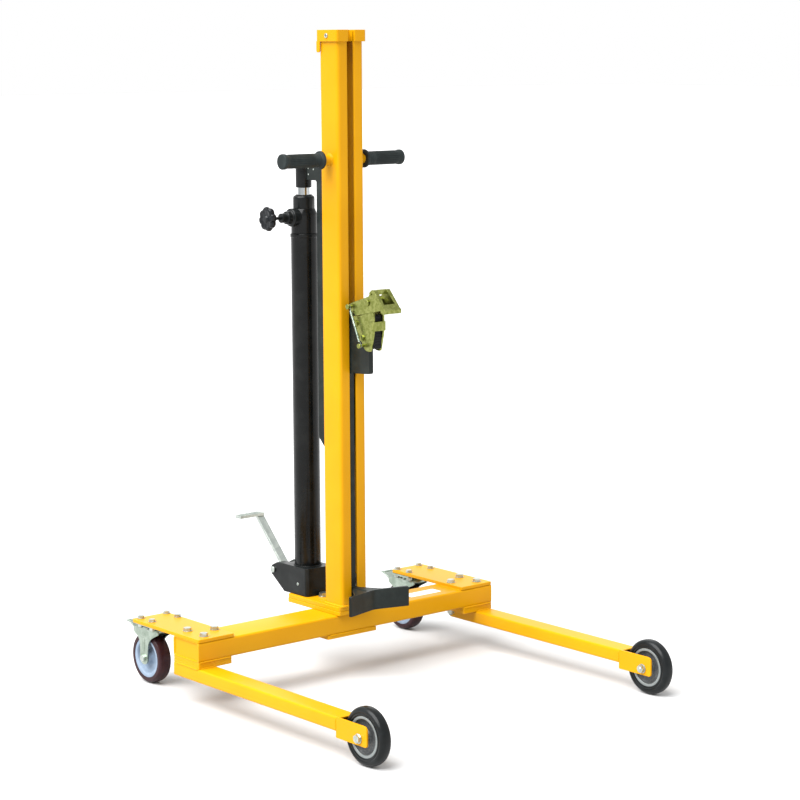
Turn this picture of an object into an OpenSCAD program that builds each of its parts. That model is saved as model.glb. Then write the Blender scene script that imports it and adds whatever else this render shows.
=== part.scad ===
// Foot-pump drum lifter: a wheeled U-shaped base, a slotted mast, a sliding carriage with
// a V cradle and a rim gripper, and a hydraulic cylinder behind the mast.
// Millimetres. The base stands on Z = 0, the drum side is -Y, the pump side is +Y.
// Lengths along Y are measured from the front face of the crossbeam.

/* [Base] */
// Length of the crossbeam, side to side
beam_length = 870; // [700:5:1040]
// Depth of the crossbeam, front to back
beam_depth = 98; // [85:1:118]
// Height of the crossbeam tube
beam_height = 44; // [36:1:56]
// Wall of the crossbeam tube
beam_wall = 4; // [3:0.5:6]
// Height of the leg tubes above the floor
leg_clearance = 60; // [45:1:72]
// Width of each leg tube
leg_width = 50; // [42:1:60]
// Height of each leg tube
leg_height = 31; // [26:1:38]
// Wall of each leg tube
leg_wall = 3; // [2:0.5:5]
// Distance from the crossbeam's front face to the front end of the leg tubes
leg_reach = 492; // [400:1:600]
// Thickness of the plate welded on top of each leg
leg_plate = 8; // [5:0.5:12]
// Thickness of the spacer welded under each end of the crossbeam
spacer_plate = 7; // [4:0.5:12]
// Width of the leg plates and spacers
joint_width = 90; // [80:1:110]

/* [Front wheels] */
// Diameter of the front wheels
wheel_d = 125; // [105:1:150]
// Width of the front wheels
wheel_width = 28; // [24:1:38]
// Diameter of the iron rim inside the tyre
rim_d = 88; // [74:1:96]
// Diameter of the axle bolts
axle_d = 10; // [8:1:14]
// Gap between a front wheel and the end of its leg tube
wheel_gap = 3.5; // [2:0.5:8]
// Thickness of the wheel ears
ear_wall = 5; // [4:0.5:6]
// Length of the ears in front of the axle
ear_nose = 25; // [18:1:32]
// How far the ears hang below the leg tube
ear_drop = 13; // [8:1:18]

/* [Casters] */
// Thickness of the caster mount plates on the beam
mount_plate = 8; // [6:0.5:12]
// Width of the caster mount plates
mount_width = 98; // [88:1:110]
// Length of the caster mount plates, front to back
mount_length = 262; // [240:1:300]
// Diameter of the caster wheels
caster_d = 120; // [96:1:124]
// Width of the caster wheels
caster_width = 32; // [26:1:38]
// Distance of the caster axle behind the swivel axis
caster_trail = 34; // [26:1:40]
// Spacing of the caster bolts, side to side
pattern_x = 70; // [62:1:76]
// Spacing of the caster bolts, front to back
pattern_y = 45; // [40:1:60]
// Diameter of the caster bolts
caster_bolt_d = 8; // [6:1:10]
// Diameter of the beam bolts
beam_bolt_d = 10; // [8:1:12]

/* [Mast] */
// Width of the mast
mast_width = 74; // [64:1:84]
// Depth of the mast
mast_depth = 66; // [56:1:80]
// Wall of the mast channels
mast_wall = 5; // [4:0.5:6]
// Height of the top of the mast cap above the floor
mast_top = 1484; // [1300:1:1780]
// Width of the slots between the two channels
slot_width = 19; // [15:0.5:24]
// Overhang of the mast in front of the crossbeam
mast_overhang = 9; // [0:1:14]
// Thickness of each of the two foot plates
foot_plate = 10; // [8:1:14]
// Width of the foot plates
foot_width = 92; // [82:1:120]
// Height of the handle bars above the floor
handle_z = 1195; // [1150:1:1220]
// Distance of the grip ends from the middle of the mast
handle_reach = 172; // [150:1:200]
// Diameter of the handle bars
handle_bar_d = 22; // [18:1:25]
// Diameter of the rubber grips
grip_d = 31; // [28:1:36]

/* [Lift] */
// Thickness of the lift plate that runs in the slots
plate_wall = 12; // [10:0.5:14]
// Height of the V cradle plates
cradle_height = 46; // [36:1:60]
// Height of the bottom edge of the V cradle at rest
cradle_z = 172; // [172:1:186]
// Half of the width of the V cradle
cradle_reach = 85; // [70:1:110]
// Distance of the V cradle's vertex in front of the crossbeam
cradle_y = 78; // [66:1:96]
// Height of the beak's pivot at rest
pivot_z = 879.5; // [840:0.5:920]
// Distance of the beak's pivot in front of the crossbeam
pivot_y = 88.5; // [84:0.5:96]
// Width of the beak's hood
beak_width = 48; // [46:1:60]
// Thickness of the gripper cheeks
cheek_wall = 5; // [4:0.5:6]
// Diameter of the carriage roller axles
roller_axle_d = 10; // [8:1:12]

/* [Hydraulics] */
// Distance of the cylinder's axis behind the crossbeam's front face
cylinder_y = 167; // [160:1:174]
// Outside diameter of the cylinder tube
cylinder_d = 62; // [54:1:66]
// Wall of the cylinder tube
cylinder_wall = 4; // [3:0.5:5]
// Height of the top of the cylinder tube above the floor
cylinder_top = 1020; // [980:1:1024]
// Diameter of the piston rod
rod_d = 28; // [22:1:30]
// Height of the pump base block
block_height = 67; // [60:1:76]
// Width of the pump base block
block_width = 76; // [72:1:88]
// Distance of the pedal pivot behind the cylinder's axis
pedal_y = 85; // [78:1:92]
// Diameter of the pedal pin
pedal_pin_d = 10; // [8:1:12]
// Horizontal length of the pedal arm at rest
pedal_run = 109; // [80:1:140]
// Vertical length of the pedal arm at rest
pedal_rise = 118; // [90:1:150]
// Length of the pedal's tread
tread_length = 73; // [50:1:100]
// Height of the release valve above the floor
valve_z = 1058; // [1052:1:1060]
// Distance of the release knob from the middle of the mast
knob_x = 114; // [104:1:130]
// Diameter of the release knob
knob_d = 57; // [44:1:64]

/* [Fits] */
// Radial clearance of a turning or sliding fit
running = 0.05; // [0.02:0.01:0.09]
// Radial clearance round a bolt
bolt_play = 0.3; // [0.2:0.05:0.6]
// Gap between faces that move past each other
gap = 0.5; // [0.4:0.1:0.8]

/* [Hidden] */
$fn = 64;

yellow = "#f6b50a";
zinc = "#b9c4b8";
black = "#22262a";

// Heights of the base, stacked upwards from the floor
leg_top = leg_clearance + leg_height;
beam_z = leg_top + leg_plate + spacer_plate;
beam_top = beam_z + beam_height;
mount_top = beam_top + mount_plate;
foot_top = beam_top + 2 * foot_plate;

// Places along Y, from the crossbeam's front face
axle_y = -(leg_reach + wheel_d / 2 + wheel_gap);
mast_y = -mast_overhang;
mast_mid_y = mast_y + mast_depth / 2;
mast_back_y = mast_y + mast_depth;
swivel_y = mount_length - 32;
swivel_x = beam_length / 2 - 53;
pedal_pivot_y = cylinder_y + pedal_y;
pedal_pivot_z = foot_top + 46;
tread_depth = 24;
tread_y = pedal_pivot_y + pedal_run - tread_depth / 2;
rear_y = tread_y + tread_depth;
front_y = axle_y - wheel_d / 2;
// The origin is under the middle of the whole object
shift_y = -(front_y + rear_y) / 2;

// Leg and wheel places across X
leg_x = beam_length / 2 - leg_width / 2;
ear_gap = leg_width - 2 * ear_wall;
axle_z = wheel_d / 2;

// Beam bolts of one end: distance in from the beam's end, and depth from its front face
beam_bolt_places = [[30, beam_depth - 13], [30, 22], [joint_width - 7, beam_depth * 0.57]];

function over_leg(place) = place[0] < leg_width;
// Foot plates, their bolt and the clamp plate under the beam
foot_back_y = cylinder_y + 21;
foot_bolt_d = 12;
pump_front_y = cylinder_y - cylinder_d / 2 - 14;
clamp_width = 144;
clamp_thick = 9;

// Casters, measured from the swivel axis and the floor
caster_z = caster_d / 2;
caster_plate_wall = 4;
caster_plate_z = beam_top - caster_plate_wall;
crown_z = caster_plate_z - 18;
fork_half = caster_width / 2 + 3;
fork_wall = 3.5;
kingpin_d = 12;
brake_y = caster_trail + 32;
brake_z = crown_z - 6;
caster_ring = 14;

// Mast cap
cap_height = 26;
cap_wall = 4;
cap_side = 5;

// Lift plate levels
lift_low = cradle_z;
strip_top = pivot_z - 22;
bar_low = 549;
bar_top = 1180;
bar_front_y = mast_back_y + 15;
bar_back_y = cylinder_y - cylinder_d / 2 - 24;
arm_low = bar_top - 36;
plate_front_y = mast_y + 4;
roller_r = mast_depth / 2 - mast_wall - gap;
roller_low_z = foot_top + roller_r + 10;
roller_high_z = strip_top - roller_r - 4;
roller_inner_x = plate_wall / 2 + 2;
roller_outer_x = mast_width / 2 - mast_wall - 2.5;

// Gripper stations across X
cheek_x = plate_wall / 2 + 5.5;
lever_x = cheek_x + cheek_wall + gap;
lever_wall = 4;
spring_x = lever_x + lever_wall + 5;
bracket_front_y = -(cradle_y - 3);

// Bolts through the cheeks and the lift plate, as [y, z], and the two spring pins
cheek_bolt_places = [[-pivot_y + 46, pivot_z - 50], [-pivot_y + 24, pivot_z - 82]];
cheek_bolt_d = 8;
anchor_y = -pivot_y + 20;
anchor_z = pivot_z - 98;
spring_pin_y = -pivot_y + 59;
spring_pin_z = pivot_z - 12.5;
spring_pin_d = 7;
pivot_pin_d = 10;

// Hydraulics levels
block_top = foot_top + block_height;
socket_depth = 12;
head_d = cylinder_d - 2;
head_top = cylinder_top + 46;
gland_d = 50;
gland_low = head_top + 12;
gland_top = gland_low + 30;
rod_head_d = 37;
rod_head_low = gland_top + 18;
rod_head_top = bar_top + 2;
lever_half = 11;
stem_d = 7;
valve_tip_x = 68;
knob_thick = 17;

// ---------------------------------------------------------------- helpers

module framed() translate([0, shift_y, 0]) children();

// Children as drawn for the +X side, mirrored for the -X side
module sided(side) { if (side < 0) mirror([1, 0, 0]) children(); else children(); }

// A round bar along X from x0 to x1 at height z and depth y
module bar_x(x0, x1, y, z, d) translate([x0, y, z]) rotate([0, 90, 0]) cylinder(d = d, h = x1 - x0);

// A hexagon bolt head along Z, standing on z = 0, with its washer
module hex_head(d) {
    cylinder(d = 2.1 * d, h = 0.2 * d);
    translate([0, 0, 0.2 * d]) cylinder(d = 1.85 * d, h = 0.64 * d, $fn = 6);
}

// A bolt pointing down from z = 0 with a nut under grip length g, or none when g = 0
module bolt(d, length, g = 0) {
    hex_head(d);
    translate([0, 0, -length]) cylinder(d = d, h = length + 1);
    if (g > 0) translate([0, 0, -g]) mirror([0, 0, 1]) hex_head(d);
}

// A plate in the YZ plane: points are [y, z], from x0 with thickness t
module side_plate(points, x0, t) {
    translate([x0, 0, 0]) rotate([90, 0, 90]) linear_extrude(height = t) polygon(points);
}

// A rectangle with round corners, centred
module round_rect(w, d, r) {
    square([w - 2 * r, d], center = true);
    square([w, d - 2 * r], center = true);
    for (x = [-1, 1], y = [-1, 1]) translate([x * (w / 2 - r), y * (d / 2 - r)]) circle(r);
}

// ---------------------------------------------------------------- base

module crossbeam() color(yellow) framed() difference() {
    union() {
        translate([-beam_length / 2, 0, beam_z]) cube([beam_length, beam_depth, beam_height]);
        for (s = [-1, 1]) sided(s)
            translate([beam_length / 2 - joint_width, 0, beam_z - spacer_plate])
                cube([joint_width, beam_depth, spacer_plate + 1]);
    }
    translate([-beam_length / 2 + beam_wall, beam_wall, beam_z + beam_wall])
        cube([beam_length - 2 * beam_wall, beam_depth - 2 * beam_wall, beam_height - 2 * beam_wall]);
    for (s = [-1, 1], p = beam_bolt_places) translate([s * (beam_length / 2 - p[0]), p[1], 0])
        cylinder(r = beam_bolt_d / 2 + bolt_play, h = beam_top + 1);
}

// The leg, its plate and its two wheel ears are one weldment
module leg(side) color(yellow) framed() sided(side) difference() {
    union() {
        difference() {
            translate([leg_x - leg_width / 2, -leg_reach, leg_clearance])
                cube([leg_width, leg_reach + beam_depth, leg_height]);
            translate([leg_x - leg_width / 2 + leg_wall, -leg_reach - 1, leg_clearance + leg_wall])
                cube([leg_width - 2 * leg_wall, leg_reach + beam_depth - leg_wall, leg_height - 2 * leg_wall]);
        }
        translate([beam_length / 2 - joint_width, 0, leg_top]) cube([joint_width, beam_depth, leg_plate]);
        for (x = [leg_x - leg_width / 2, leg_x + leg_width / 2 - ear_wall]) ear(x);
    }
    bar_x(leg_x - leg_width, leg_x + leg_width, axle_y, axle_z, axle_d + 2 * bolt_play);
    for (p = beam_bolt_places)
        translate([beam_length / 2 - p[0], p[1], over_leg(p) ? leg_top + 0.5 : leg_top - 1])
            cylinder(r = beam_bolt_d / 2 + bolt_play, h = leg_plate + 2);
}

module ear(x) {
    low = leg_clearance - ear_drop;
    nose = axle_y - ear_nose;
    rear = -leg_reach + 8;
    round_top = 10;
    round_low = 5;
    side_plate([[rear, low], [rear, leg_top], [nose + round_top, leg_top], [nose, leg_top - round_top],
        [nose, low + round_low], [nose + round_low, low]], x, ear_wall);
    translate([x, nose + round_top, leg_top - round_top]) rotate([0, 90, 0])
        cylinder(r = round_top, h = ear_wall);
    translate([x, nose + round_low, low + round_low]) rotate([0, 90, 0])
        cylinder(r = round_low, h = ear_wall);
}

module clamp_plate() color(yellow) framed()
    translate([-clamp_width / 2, 0, beam_z - clamp_thick])
        cube([clamp_width, beam_depth, clamp_thick]);

module caster_mount(side) color(yellow) framed() sided(side) difference() {
    translate([beam_length / 2 - mount_width / 2, mount_length / 2, beam_top])
        linear_extrude(height = mount_plate) round_rect(mount_width, mount_length, 4);
    for (p = beam_bolt_places) translate([beam_length / 2 - p[0], p[1], beam_top - 1])
        cylinder(r = beam_bolt_d / 2 + bolt_play, h = mount_plate + 2);
    caster_pattern() translate([0, 0, beam_top - 1])
        cylinder(r = caster_bolt_d / 2 + bolt_play, h = mount_plate + 2);
}

module caster_pattern() for (x = [-1, 1], y = [-1, 1])
    translate([swivel_x + x * pattern_x / 2, swivel_y + y * pattern_y / 2, 0]) children();

module foot(z) color(yellow) framed() difference() {
    translate([0, (mast_y + foot_back_y) / 2, z]) linear_extrude(height = foot_plate)
        round_rect(foot_width, foot_back_y - mast_y, 6);
    foot_bolt_place() translate([0, 0, z - 1])
        cylinder(r = foot_bolt_d / 2 + bolt_play, h = foot_plate + 2);
}

// The bolt's washer just clears the front of the pump base
module foot_bolt_place() translate([0, pump_front_y - 1.05 * foot_bolt_d - 1.9, 0]) children();

// The bolts over a leg end blind in its plate, the others go through to a nut
module base_bolts() color(zinc) framed() {
    stack = mount_top - leg_top;
    for (s = [-1, 1], p = beam_bolt_places)
        translate([s * (beam_length / 2 - p[0]), p[1], mount_top])
            bolt(beam_bolt_d, over_leg(p) ? stack - 1 : stack + 12, over_leg(p) ? 0 : stack);
    foot_bolt_place() translate([0, 0, foot_top]) bolt(foot_bolt_d, 2 * foot_plate + 4);
}

module caster_bolts() color(zinc) framed() for (s = [-1, 1]) sided(s) caster_pattern()
    translate([0, 0, mount_top]) bolt(caster_bolt_d, mount_plate + caster_plate_wall + 7,
        mount_plate + caster_plate_wall);

// ---------------------------------------------------------------- front wheels

module front_axles() color(zinc) framed() for (s = [-1, 1]) sided(s)
    translate([beam_length / 2, axle_y, axle_z]) rotate([0, 90, 0])
        bolt(axle_d, leg_width + 13, leg_width);

module tyre(side) color(black) framed() sided(side) translate([leg_x, axle_y, axle_z])
    rotate([0, 90, 0]) rotate_extrude() intersection() {
        translate([rim_d / 2, -wheel_width / 2]) square([(wheel_d - rim_d) / 2, wheel_width]);
        translate([wheel_d / 2 - wheel_width * 0.92, 0]) circle(wheel_width * 0.92, $fn = 96);
    }

module wheel_rim(side) color("#7f8a90") framed() sided(side) translate([leg_x, axle_y, axle_z])
    rotate([0, 90, 0]) difference() {
        union() {
            difference() {
                cylinder(d = rim_d, h = wheel_width - 3, center = true);
                for (z = [-1, 1]) translate([0, 0, z * (wheel_width / 2 + 8)])
                    cylinder(d = rim_d - 13, h = wheel_width, center = true);
            }
            cylinder(d = 2.6 * axle_d, h = ear_gap - 2 * gap - 1, center = true);
        }
        cylinder(r = axle_d / 2 + running, h = wheel_width * 2, center = true);
    }

// ---------------------------------------------------------------- casters

module at_swivel(side) framed() sided(side) translate([swivel_x, swivel_y, 0]) children();

// The top plate, its raceway and its kingpin
module caster_plate(side) color(zinc) at_swivel(side) {
    difference() {
        translate([0, 0, caster_plate_z]) linear_extrude(height = caster_plate_wall)
            round_rect(pattern_x + 22, pattern_y + 22, 6);
        for (x = [-1, 1], y = [-1, 1]) translate([x * pattern_x / 2, y * pattern_y / 2, caster_plate_z - 1])
            cylinder(r = caster_bolt_d / 2 + bolt_play, h = 6);
    }
    translate([0, 0, caster_plate_z - 8]) cylinder(d = 34, h = 8.5);
    translate([0, 0, crown_z - 5]) cylinder(d = kingpin_d, h = caster_plate_z - crown_z + 5);
    translate([0, 0, crown_z - 5]) cylinder(d = 20, h = 4.4);
}

module caster_fork(side) color(zinc) at_swivel(side) difference() {
    union() {
        translate([0, 0, crown_z]) cylinder(d = 2 * (fork_half + fork_wall) + 14, h = 9);
        for (x = [-fork_half - fork_wall, fork_half]) {
            side_plate([[caster_trail - 15, caster_z], [caster_trail + 15, caster_z],
                [caster_trail + 15, brake_z - 18], [brake_y + 7, brake_z - 6], [brake_y + 7, brake_z + 6],
                [brake_y - 10, crown_z + 4], [-26, crown_z + 4], [-26, crown_z - 4],
                [4, crown_z - 18], [caster_trail - 17, crown_z - 34]], x, fork_wall);
            bar_x(x, x + fork_wall, caster_trail, caster_z, 30);
        }
        bar_x(-fork_half - fork_wall - 6, fork_half + fork_wall + 6, caster_trail, caster_z, 10);
        for (x = [-1, 1]) bar_x(x * (fork_half + fork_wall + 3) - 3, x * (fork_half + fork_wall + 3) + 3,
            caster_trail, caster_z, 17);
        bar_x(-fork_half - fork_wall - 2, fork_half + fork_wall + 2, brake_y, brake_z, 6);
    }
    translate([0, 0, crown_z - 1]) cylinder(r = kingpin_d / 2 + running, h = 20);
    translate([0, 0, crown_z + 5]) cylinder(r = 17 + gap, h = 10);
}

module caster_rim(side) color("#8fa0b4") at_swivel(side) translate([0, caster_trail, caster_z])
    rotate([0, 90, 0]) difference() {
        union() {
            difference() {
                cylinder(d = caster_d - 2 * caster_ring, h = caster_width - 2, center = true);
                for (z = [-1, 1]) translate([0, 0, z * (caster_width / 2 + 5)])
                    cylinder(d = caster_d - 3 * caster_ring, h = caster_width * 0.9, center = true);
            }
            cylinder(d = 30, h = caster_width + 3, center = true);
        }
        cylinder(r = 5 + running, h = caster_width * 2, center = true);
    }

module caster_tread(side) color("#3a1f24") at_swivel(side) translate([0, caster_trail, caster_z])
    rotate([0, 90, 0]) rotate_extrude() intersection() {
        translate([caster_d / 2 - caster_ring, -caster_width / 2]) square([caster_ring, caster_width]);
        translate([caster_d / 2 - caster_width, 0]) circle(caster_width, $fn = 96);
    }

module caster_brake(side) color(zinc) at_swivel(side) difference() {
    union() {
        bar_x(-fork_half + gap, fork_half - gap, brake_y, brake_z, 12);
        side_plate([[brake_y - 1, brake_z], [brake_y + 3, brake_z - 5], [brake_y + 26, brake_z + 10],
            [brake_y + 42, brake_z + 12], [brake_y + 42, brake_z + 15], [brake_y + 25, brake_z + 13.5]],
            -fork_half + 1, 2 * fork_half - 2);
        side_plate([[brake_y - 4, brake_z - 4], [brake_y - 1, brake_z - 8.8], [brake_y + 3, brake_z - 8],
            [brake_y + 4, brake_z - 3]], -10, 20);
    }
    bar_x(-fork_half * 2, fork_half * 2, brake_y, brake_z, 6 + 2 * running);
}

// ---------------------------------------------------------------- mast

module mast(side) color(yellow) framed() translate([0, mast_mid_y, foot_top])
    linear_extrude(height = mast_top - cap_wall - foot_top) intersection() {
        difference() {
            round_rect(mast_width, mast_depth, 7);
            round_rect(mast_width - 2 * mast_wall, mast_depth - 2 * mast_wall, 2);
        }
        translate([side > 0 ? slot_width / 2 : -mast_width, -mast_depth])
            square([mast_width - slot_width / 2, 2 * mast_depth]);
    }

module mast_cap() color(yellow) framed() {
    translate([0, mast_mid_y, mast_top - cap_height]) difference() {
        linear_extrude(height = cap_height) round_rect(mast_width + 2 * cap_side, mast_depth + 2 * cap_side - 1, 6);
        translate([0, 0, -1]) linear_extrude(height = cap_height - cap_wall + 1)
            round_rect(mast_width + 0.4, mast_depth + 0.4, 7.2);
        translate([-slot_width / 2, -mast_depth, -1])
            cube([slot_width, mast_depth / 2 + 16, cap_height + 2]);
        cap_screw_line() cylinder(r = 3 + bolt_play, h = mast_width + 4 * cap_side, center = true);
    }
    translate([-mast_width / 2 - cap_side, mast_back_y - 8, mast_top - cap_height - 24]) cube([3, 12, 25]);
}

module cap_screw_line() translate([0, 0, cap_height / 2]) rotate([0, 90, 0]) children();

module cap_screws() color(zinc) framed() translate([0, mast_mid_y, mast_top - cap_height])
    for (s = [-1, 1]) sided(s) translate([mast_width / 2 + 0.2, 0, cap_height / 2]) rotate([0, 90, 0]) {
        cylinder(d = 6, h = cap_side);
        translate([0, 0, cap_side - 0.2]) cylinder(d = 11, h = 2.6);
    }

module handle_bars() color(yellow) framed() for (s = [-1, 1]) sided(s)
    bar_x(mast_width / 2, handle_reach - 4, mast_mid_y, handle_z, handle_bar_d);

module grip(side) color(black) framed() sided(side) difference() {
    union() {
        bar_x(handle_reach - 106, handle_reach - 6, mast_mid_y, handle_z, grip_d);
        bar_x(handle_reach - 12, handle_reach, mast_mid_y, handle_z, grip_d - 5);
        bar_x(handle_reach - 112, handle_reach - 105, mast_mid_y, handle_z, grip_d + 11);
    }
    bar_x(mast_width / 2, handle_reach - 4, mast_mid_y, handle_z, handle_bar_d);
}

// ---------------------------------------------------------------- hydraulics

module at_cylinder() framed() translate([0, cylinder_y, 0]) children();

module pump_base() color(black) at_cylinder() difference() {
    front = pump_front_y - cylinder_y;
    intersection() {
        side_plate([[front, foot_top], [44, foot_top], [pedal_y + 8, pedal_pivot_z - 11],
            [pedal_y + 13, pedal_pivot_z], [pedal_y + 6, pedal_pivot_z + 10],
            [pedal_y - 12, block_top - 2], [cylinder_d / 2 + 8, block_top], [front, block_top]],
            -block_width / 2, block_width);
        translate([0, front + 75, foot_top - 1]) linear_extrude(height = block_height + 2)
            round_rect(block_width, 150, 10);
    }
    translate([0, 0, block_top - socket_depth]) cylinder(r = cylinder_d / 2, h = socket_depth + 1);
    translate([-lever_half - gap, pedal_y - 36, pedal_pivot_z - 12]) cube([2 * (lever_half + gap), 80, 60]);
    bar_x(-block_width, block_width, pedal_y, pedal_pivot_z, pedal_pin_d);
    translate([0, pedal_y - 22, foot_top + 8]) cylinder(r = 7 + running, h = block_height);
    bar_x(-block_width, -block_width / 2 + 6, -8, foot_top + 26, 8);
}

module cylinder_tube() color(black) at_cylinder() difference() {
    union() {
        translate([0, 0, block_top - socket_depth])
            cylinder(d = cylinder_d, h = cylinder_top - block_top + socket_depth);
        translate([0, 0, cylinder_top - 8]) cylinder(d = cylinder_d + 3, h = 8);
    }
    translate([0, 0, block_top - socket_depth + 5])
        cylinder(d = cylinder_d - 2 * cylinder_wall, h = cylinder_top);
}

module cylinder_head() color(black) at_cylinder() difference() {
    union() {
        translate([0, 0, cylinder_top - 20]) cylinder(d = cylinder_d - 2 * cylinder_wall, h = 21);
        translate([0, 0, cylinder_top]) cylinder(d = head_d, h = head_top - cylinder_top);
        translate([0, 0, head_top - 0.01])
            cylinder(d1 = head_d, d2 = gland_d, h = gland_low - head_top + 0.01);
    }
    cylinder(r = rod_d / 2 + bolt_play, h = head_top * 2);
}

module gland_nut() color(black) at_cylinder() difference() {
    union() {
        translate([0, 0, gland_low]) cylinder(d = gland_d, h = gland_top - gland_low - 3);
        translate([0, 0, gland_top - 3]) cylinder(d1 = gland_d, d2 = gland_d - 6, h = 3);
    }
    cylinder(r = rod_d / 2 + running, h = gland_top * 2);
}

module valve_body() color(black) at_cylinder() difference() {
    union() {
        bar_x(-40, -head_d / 4, 0, valve_z, 42);
        bar_x(-54, -39, 0, valve_z, 30);
        bar_x(-valve_tip_x, -53, 0, valve_z, 22);
    }
    cylinder(d = head_d, h = valve_z * 2);
    bar_x(-valve_tip_x - 1, -36, 0, valve_z, stem_d + 2 * running);
}

module release_stem() color(black) at_cylinder() bar_x(-knob_x + knob_thick, -38, 0, valve_z, stem_d);

module release_knob() color(black) at_cylinder() translate([-knob_x, 0, valve_z]) rotate([0, 90, 0]) {
    lobe = knob_d * 0.12;
    linear_extrude(height = knob_thick) {
        circle(knob_d / 2 - lobe * 0.9);
        for (a = [0:45:315]) rotate(a) translate([knob_d / 2 - lobe, 0]) circle(lobe);
    }
}

module pedal_pin() color(zinc) at_cylinder() {
    bar_x(-block_width / 2 - 3, block_width / 2 + 3, pedal_y, pedal_pivot_z, pedal_pin_d);
    for (x = [-1, 1]) bar_x(x * (block_width / 2 + 2) - 2, x * (block_width / 2 + 2) + 2,
        pedal_y, pedal_pivot_z, pedal_pin_d + 5);
}

module pedal_lever() color(zinc) at_cylinder() {
    arm = 8;
    top = pedal_pivot_z + pedal_rise;
    rise = pedal_rise - arm / 2;
    half_y = arm / 2 * norm([pedal_run, rise]) / rise;
    difference() {
        union() {
            bar_x(-lever_half, lever_half, pedal_y, pedal_pivot_z, 24);
            side_plate([[pedal_y - half_y, pedal_pivot_z], [pedal_y + half_y, pedal_pivot_z],
                [pedal_y + pedal_run + half_y, pedal_pivot_z + rise],
                [pedal_y + pedal_run - half_y, pedal_pivot_z + rise]], -lever_half + 1, 2 * lever_half - 2);
            side_plate([[pedal_y - 22, pedal_pivot_z - 4], [pedal_y, pedal_pivot_z - 4],
                [pedal_y, pedal_pivot_z + 8], [pedal_y - 22, pedal_pivot_z + 8]],
                -lever_half + 1, 2 * lever_half - 2);
        }
        bar_x(-block_width, block_width, pedal_y, pedal_pivot_z, pedal_pin_d + 2 * running);
    }
    translate([lever_half - tread_length, pedal_y + pedal_run - tread_depth / 2, top - arm])
        cube([tread_length, tread_depth, arm]);
}

module pump_plunger() color(zinc) at_cylinder() translate([0, pedal_y - 22, foot_top + 10])
    cylinder(d = 14, h = pedal_pivot_z - 4 - 1.2 - foot_top - 10);

// ---------------------------------------------------------------- lift

// The plate that carries the load: it runs in both slots, joins the rod behind the mast,
// and reaches out in front for the cradle and the gripper
module lift_plate() color(black) framed() difference() {
    side_plate([[plate_front_y, lift_low], [plate_front_y, lift_low + 4],
        [-cradle_y + 6, lift_low + 4], [-cradle_y + 6, lift_low + cradle_height - 4],
        [plate_front_y, lift_low + cradle_height - 4],
        [plate_front_y, pivot_z - 168], [bracket_front_y, pivot_z - 164],
        [bracket_front_y, pivot_z - 30], [plate_front_y, pivot_z - 30],
        [plate_front_y, strip_top], [bar_front_y, strip_top], [bar_front_y, bar_top],
        [cylinder_y, bar_top], [cylinder_y, arm_low], [bar_back_y, arm_low],
        [bar_back_y, bar_low], [bar_back_y - 20, bar_low - 20], [mast_mid_y + 8, bar_low - 20],
        [mast_mid_y + 8, lift_low]], -plate_wall / 2, plate_wall);
    translate([0, cylinder_y, arm_low - 1]) cylinder(d = rod_head_d, h = bar_top);
    cradle_v();
    for (z = [roller_low_z, roller_high_z]) bar_x(-plate_wall, plate_wall, mast_mid_y, z, roller_axle_d);
    for (p = cheek_bolt_places) bar_x(-plate_wall, plate_wall, p[0], p[1], cheek_bolt_d + 2 * bolt_play);
    bar_x(-plate_wall, plate_wall, anchor_y, anchor_z, spring_pin_d);
}

// Outline of the bent cradle plate, seen from above
module cradle_v() {
    fall = cradle_reach * tan(15.8);
    thick = 7;
    back = thick / cos(15.8);
    translate([0, 0, lift_low]) linear_extrude(height = cradle_height)
        polygon([[0, -cradle_y], [-cradle_reach, -cradle_y - fall],
            [-cradle_reach - thick * sin(15.8), -cradle_y - fall + thick * cos(15.8)],
            [0, -cradle_y + back],
            [cradle_reach + thick * sin(15.8), -cradle_y - fall + thick * cos(15.8)],
            [cradle_reach, -cradle_y - fall]]);
}

module drum_cradle() color(black) framed() {
    cradle_v();
    for (s = [-1, 1]) sided(s) difference() {
        translate([0, 0, lift_low + cradle_height - 12]) linear_extrude(height = 6)
            polygon([[plate_wall / 2, mast_y - 6], [plate_wall / 2 + 6, mast_y - 6],
                [60, -cradle_y - 6], [plate_wall / 2, -cradle_y + 4]]);
        translate([0, -200 - cradle_y, 0]) cube([400, 200, lift_low * 2]);
    }
}

module roller_axles() color(zinc) framed() for (z = [roller_low_z, roller_high_z])
    bar_x(-roller_outer_x - 1.5, roller_outer_x + 1.5, mast_mid_y, z, roller_axle_d);

module rollers(z) color("#8a8f92") framed() for (s = [-1, 1]) sided(s) difference() {
    bar_x(roller_inner_x, roller_outer_x, mast_mid_y, z, 2 * roller_r);
    bar_x(0, mast_width, mast_mid_y, z, roller_axle_d + 2 * running);
}

// ---------------------------------------------------------------- rim gripper

module cheek(side) color("#b3a866") framed() sided(side) difference() {
    union() {
        side_plate([[-pivot_y + 60, pivot_z - 34], [-pivot_y + 56, pivot_z - 46],
            [anchor_y - 4, pivot_z - 110], [-pivot_y - 4, pivot_z - 111], [-pivot_y - 15, pivot_z - 66],
            [-pivot_y - 15, pivot_z - 12], [-pivot_y - 11, pivot_z], [-pivot_y + 11, pivot_z],
            [-pivot_y + 28, pivot_z - 30]], cheek_x, cheek_wall);
        bar_x(cheek_x, cheek_x + cheek_wall, -pivot_y, pivot_z, 22);
    }
    bar_x(0, 60, -pivot_y, pivot_z, pivot_pin_d);
    bar_x(0, 60, anchor_y, anchor_z, spring_pin_d);
    for (p = cheek_bolt_places) bar_x(0, 60, p[0], p[1], cheek_bolt_d + 2 * bolt_play);
}

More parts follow.
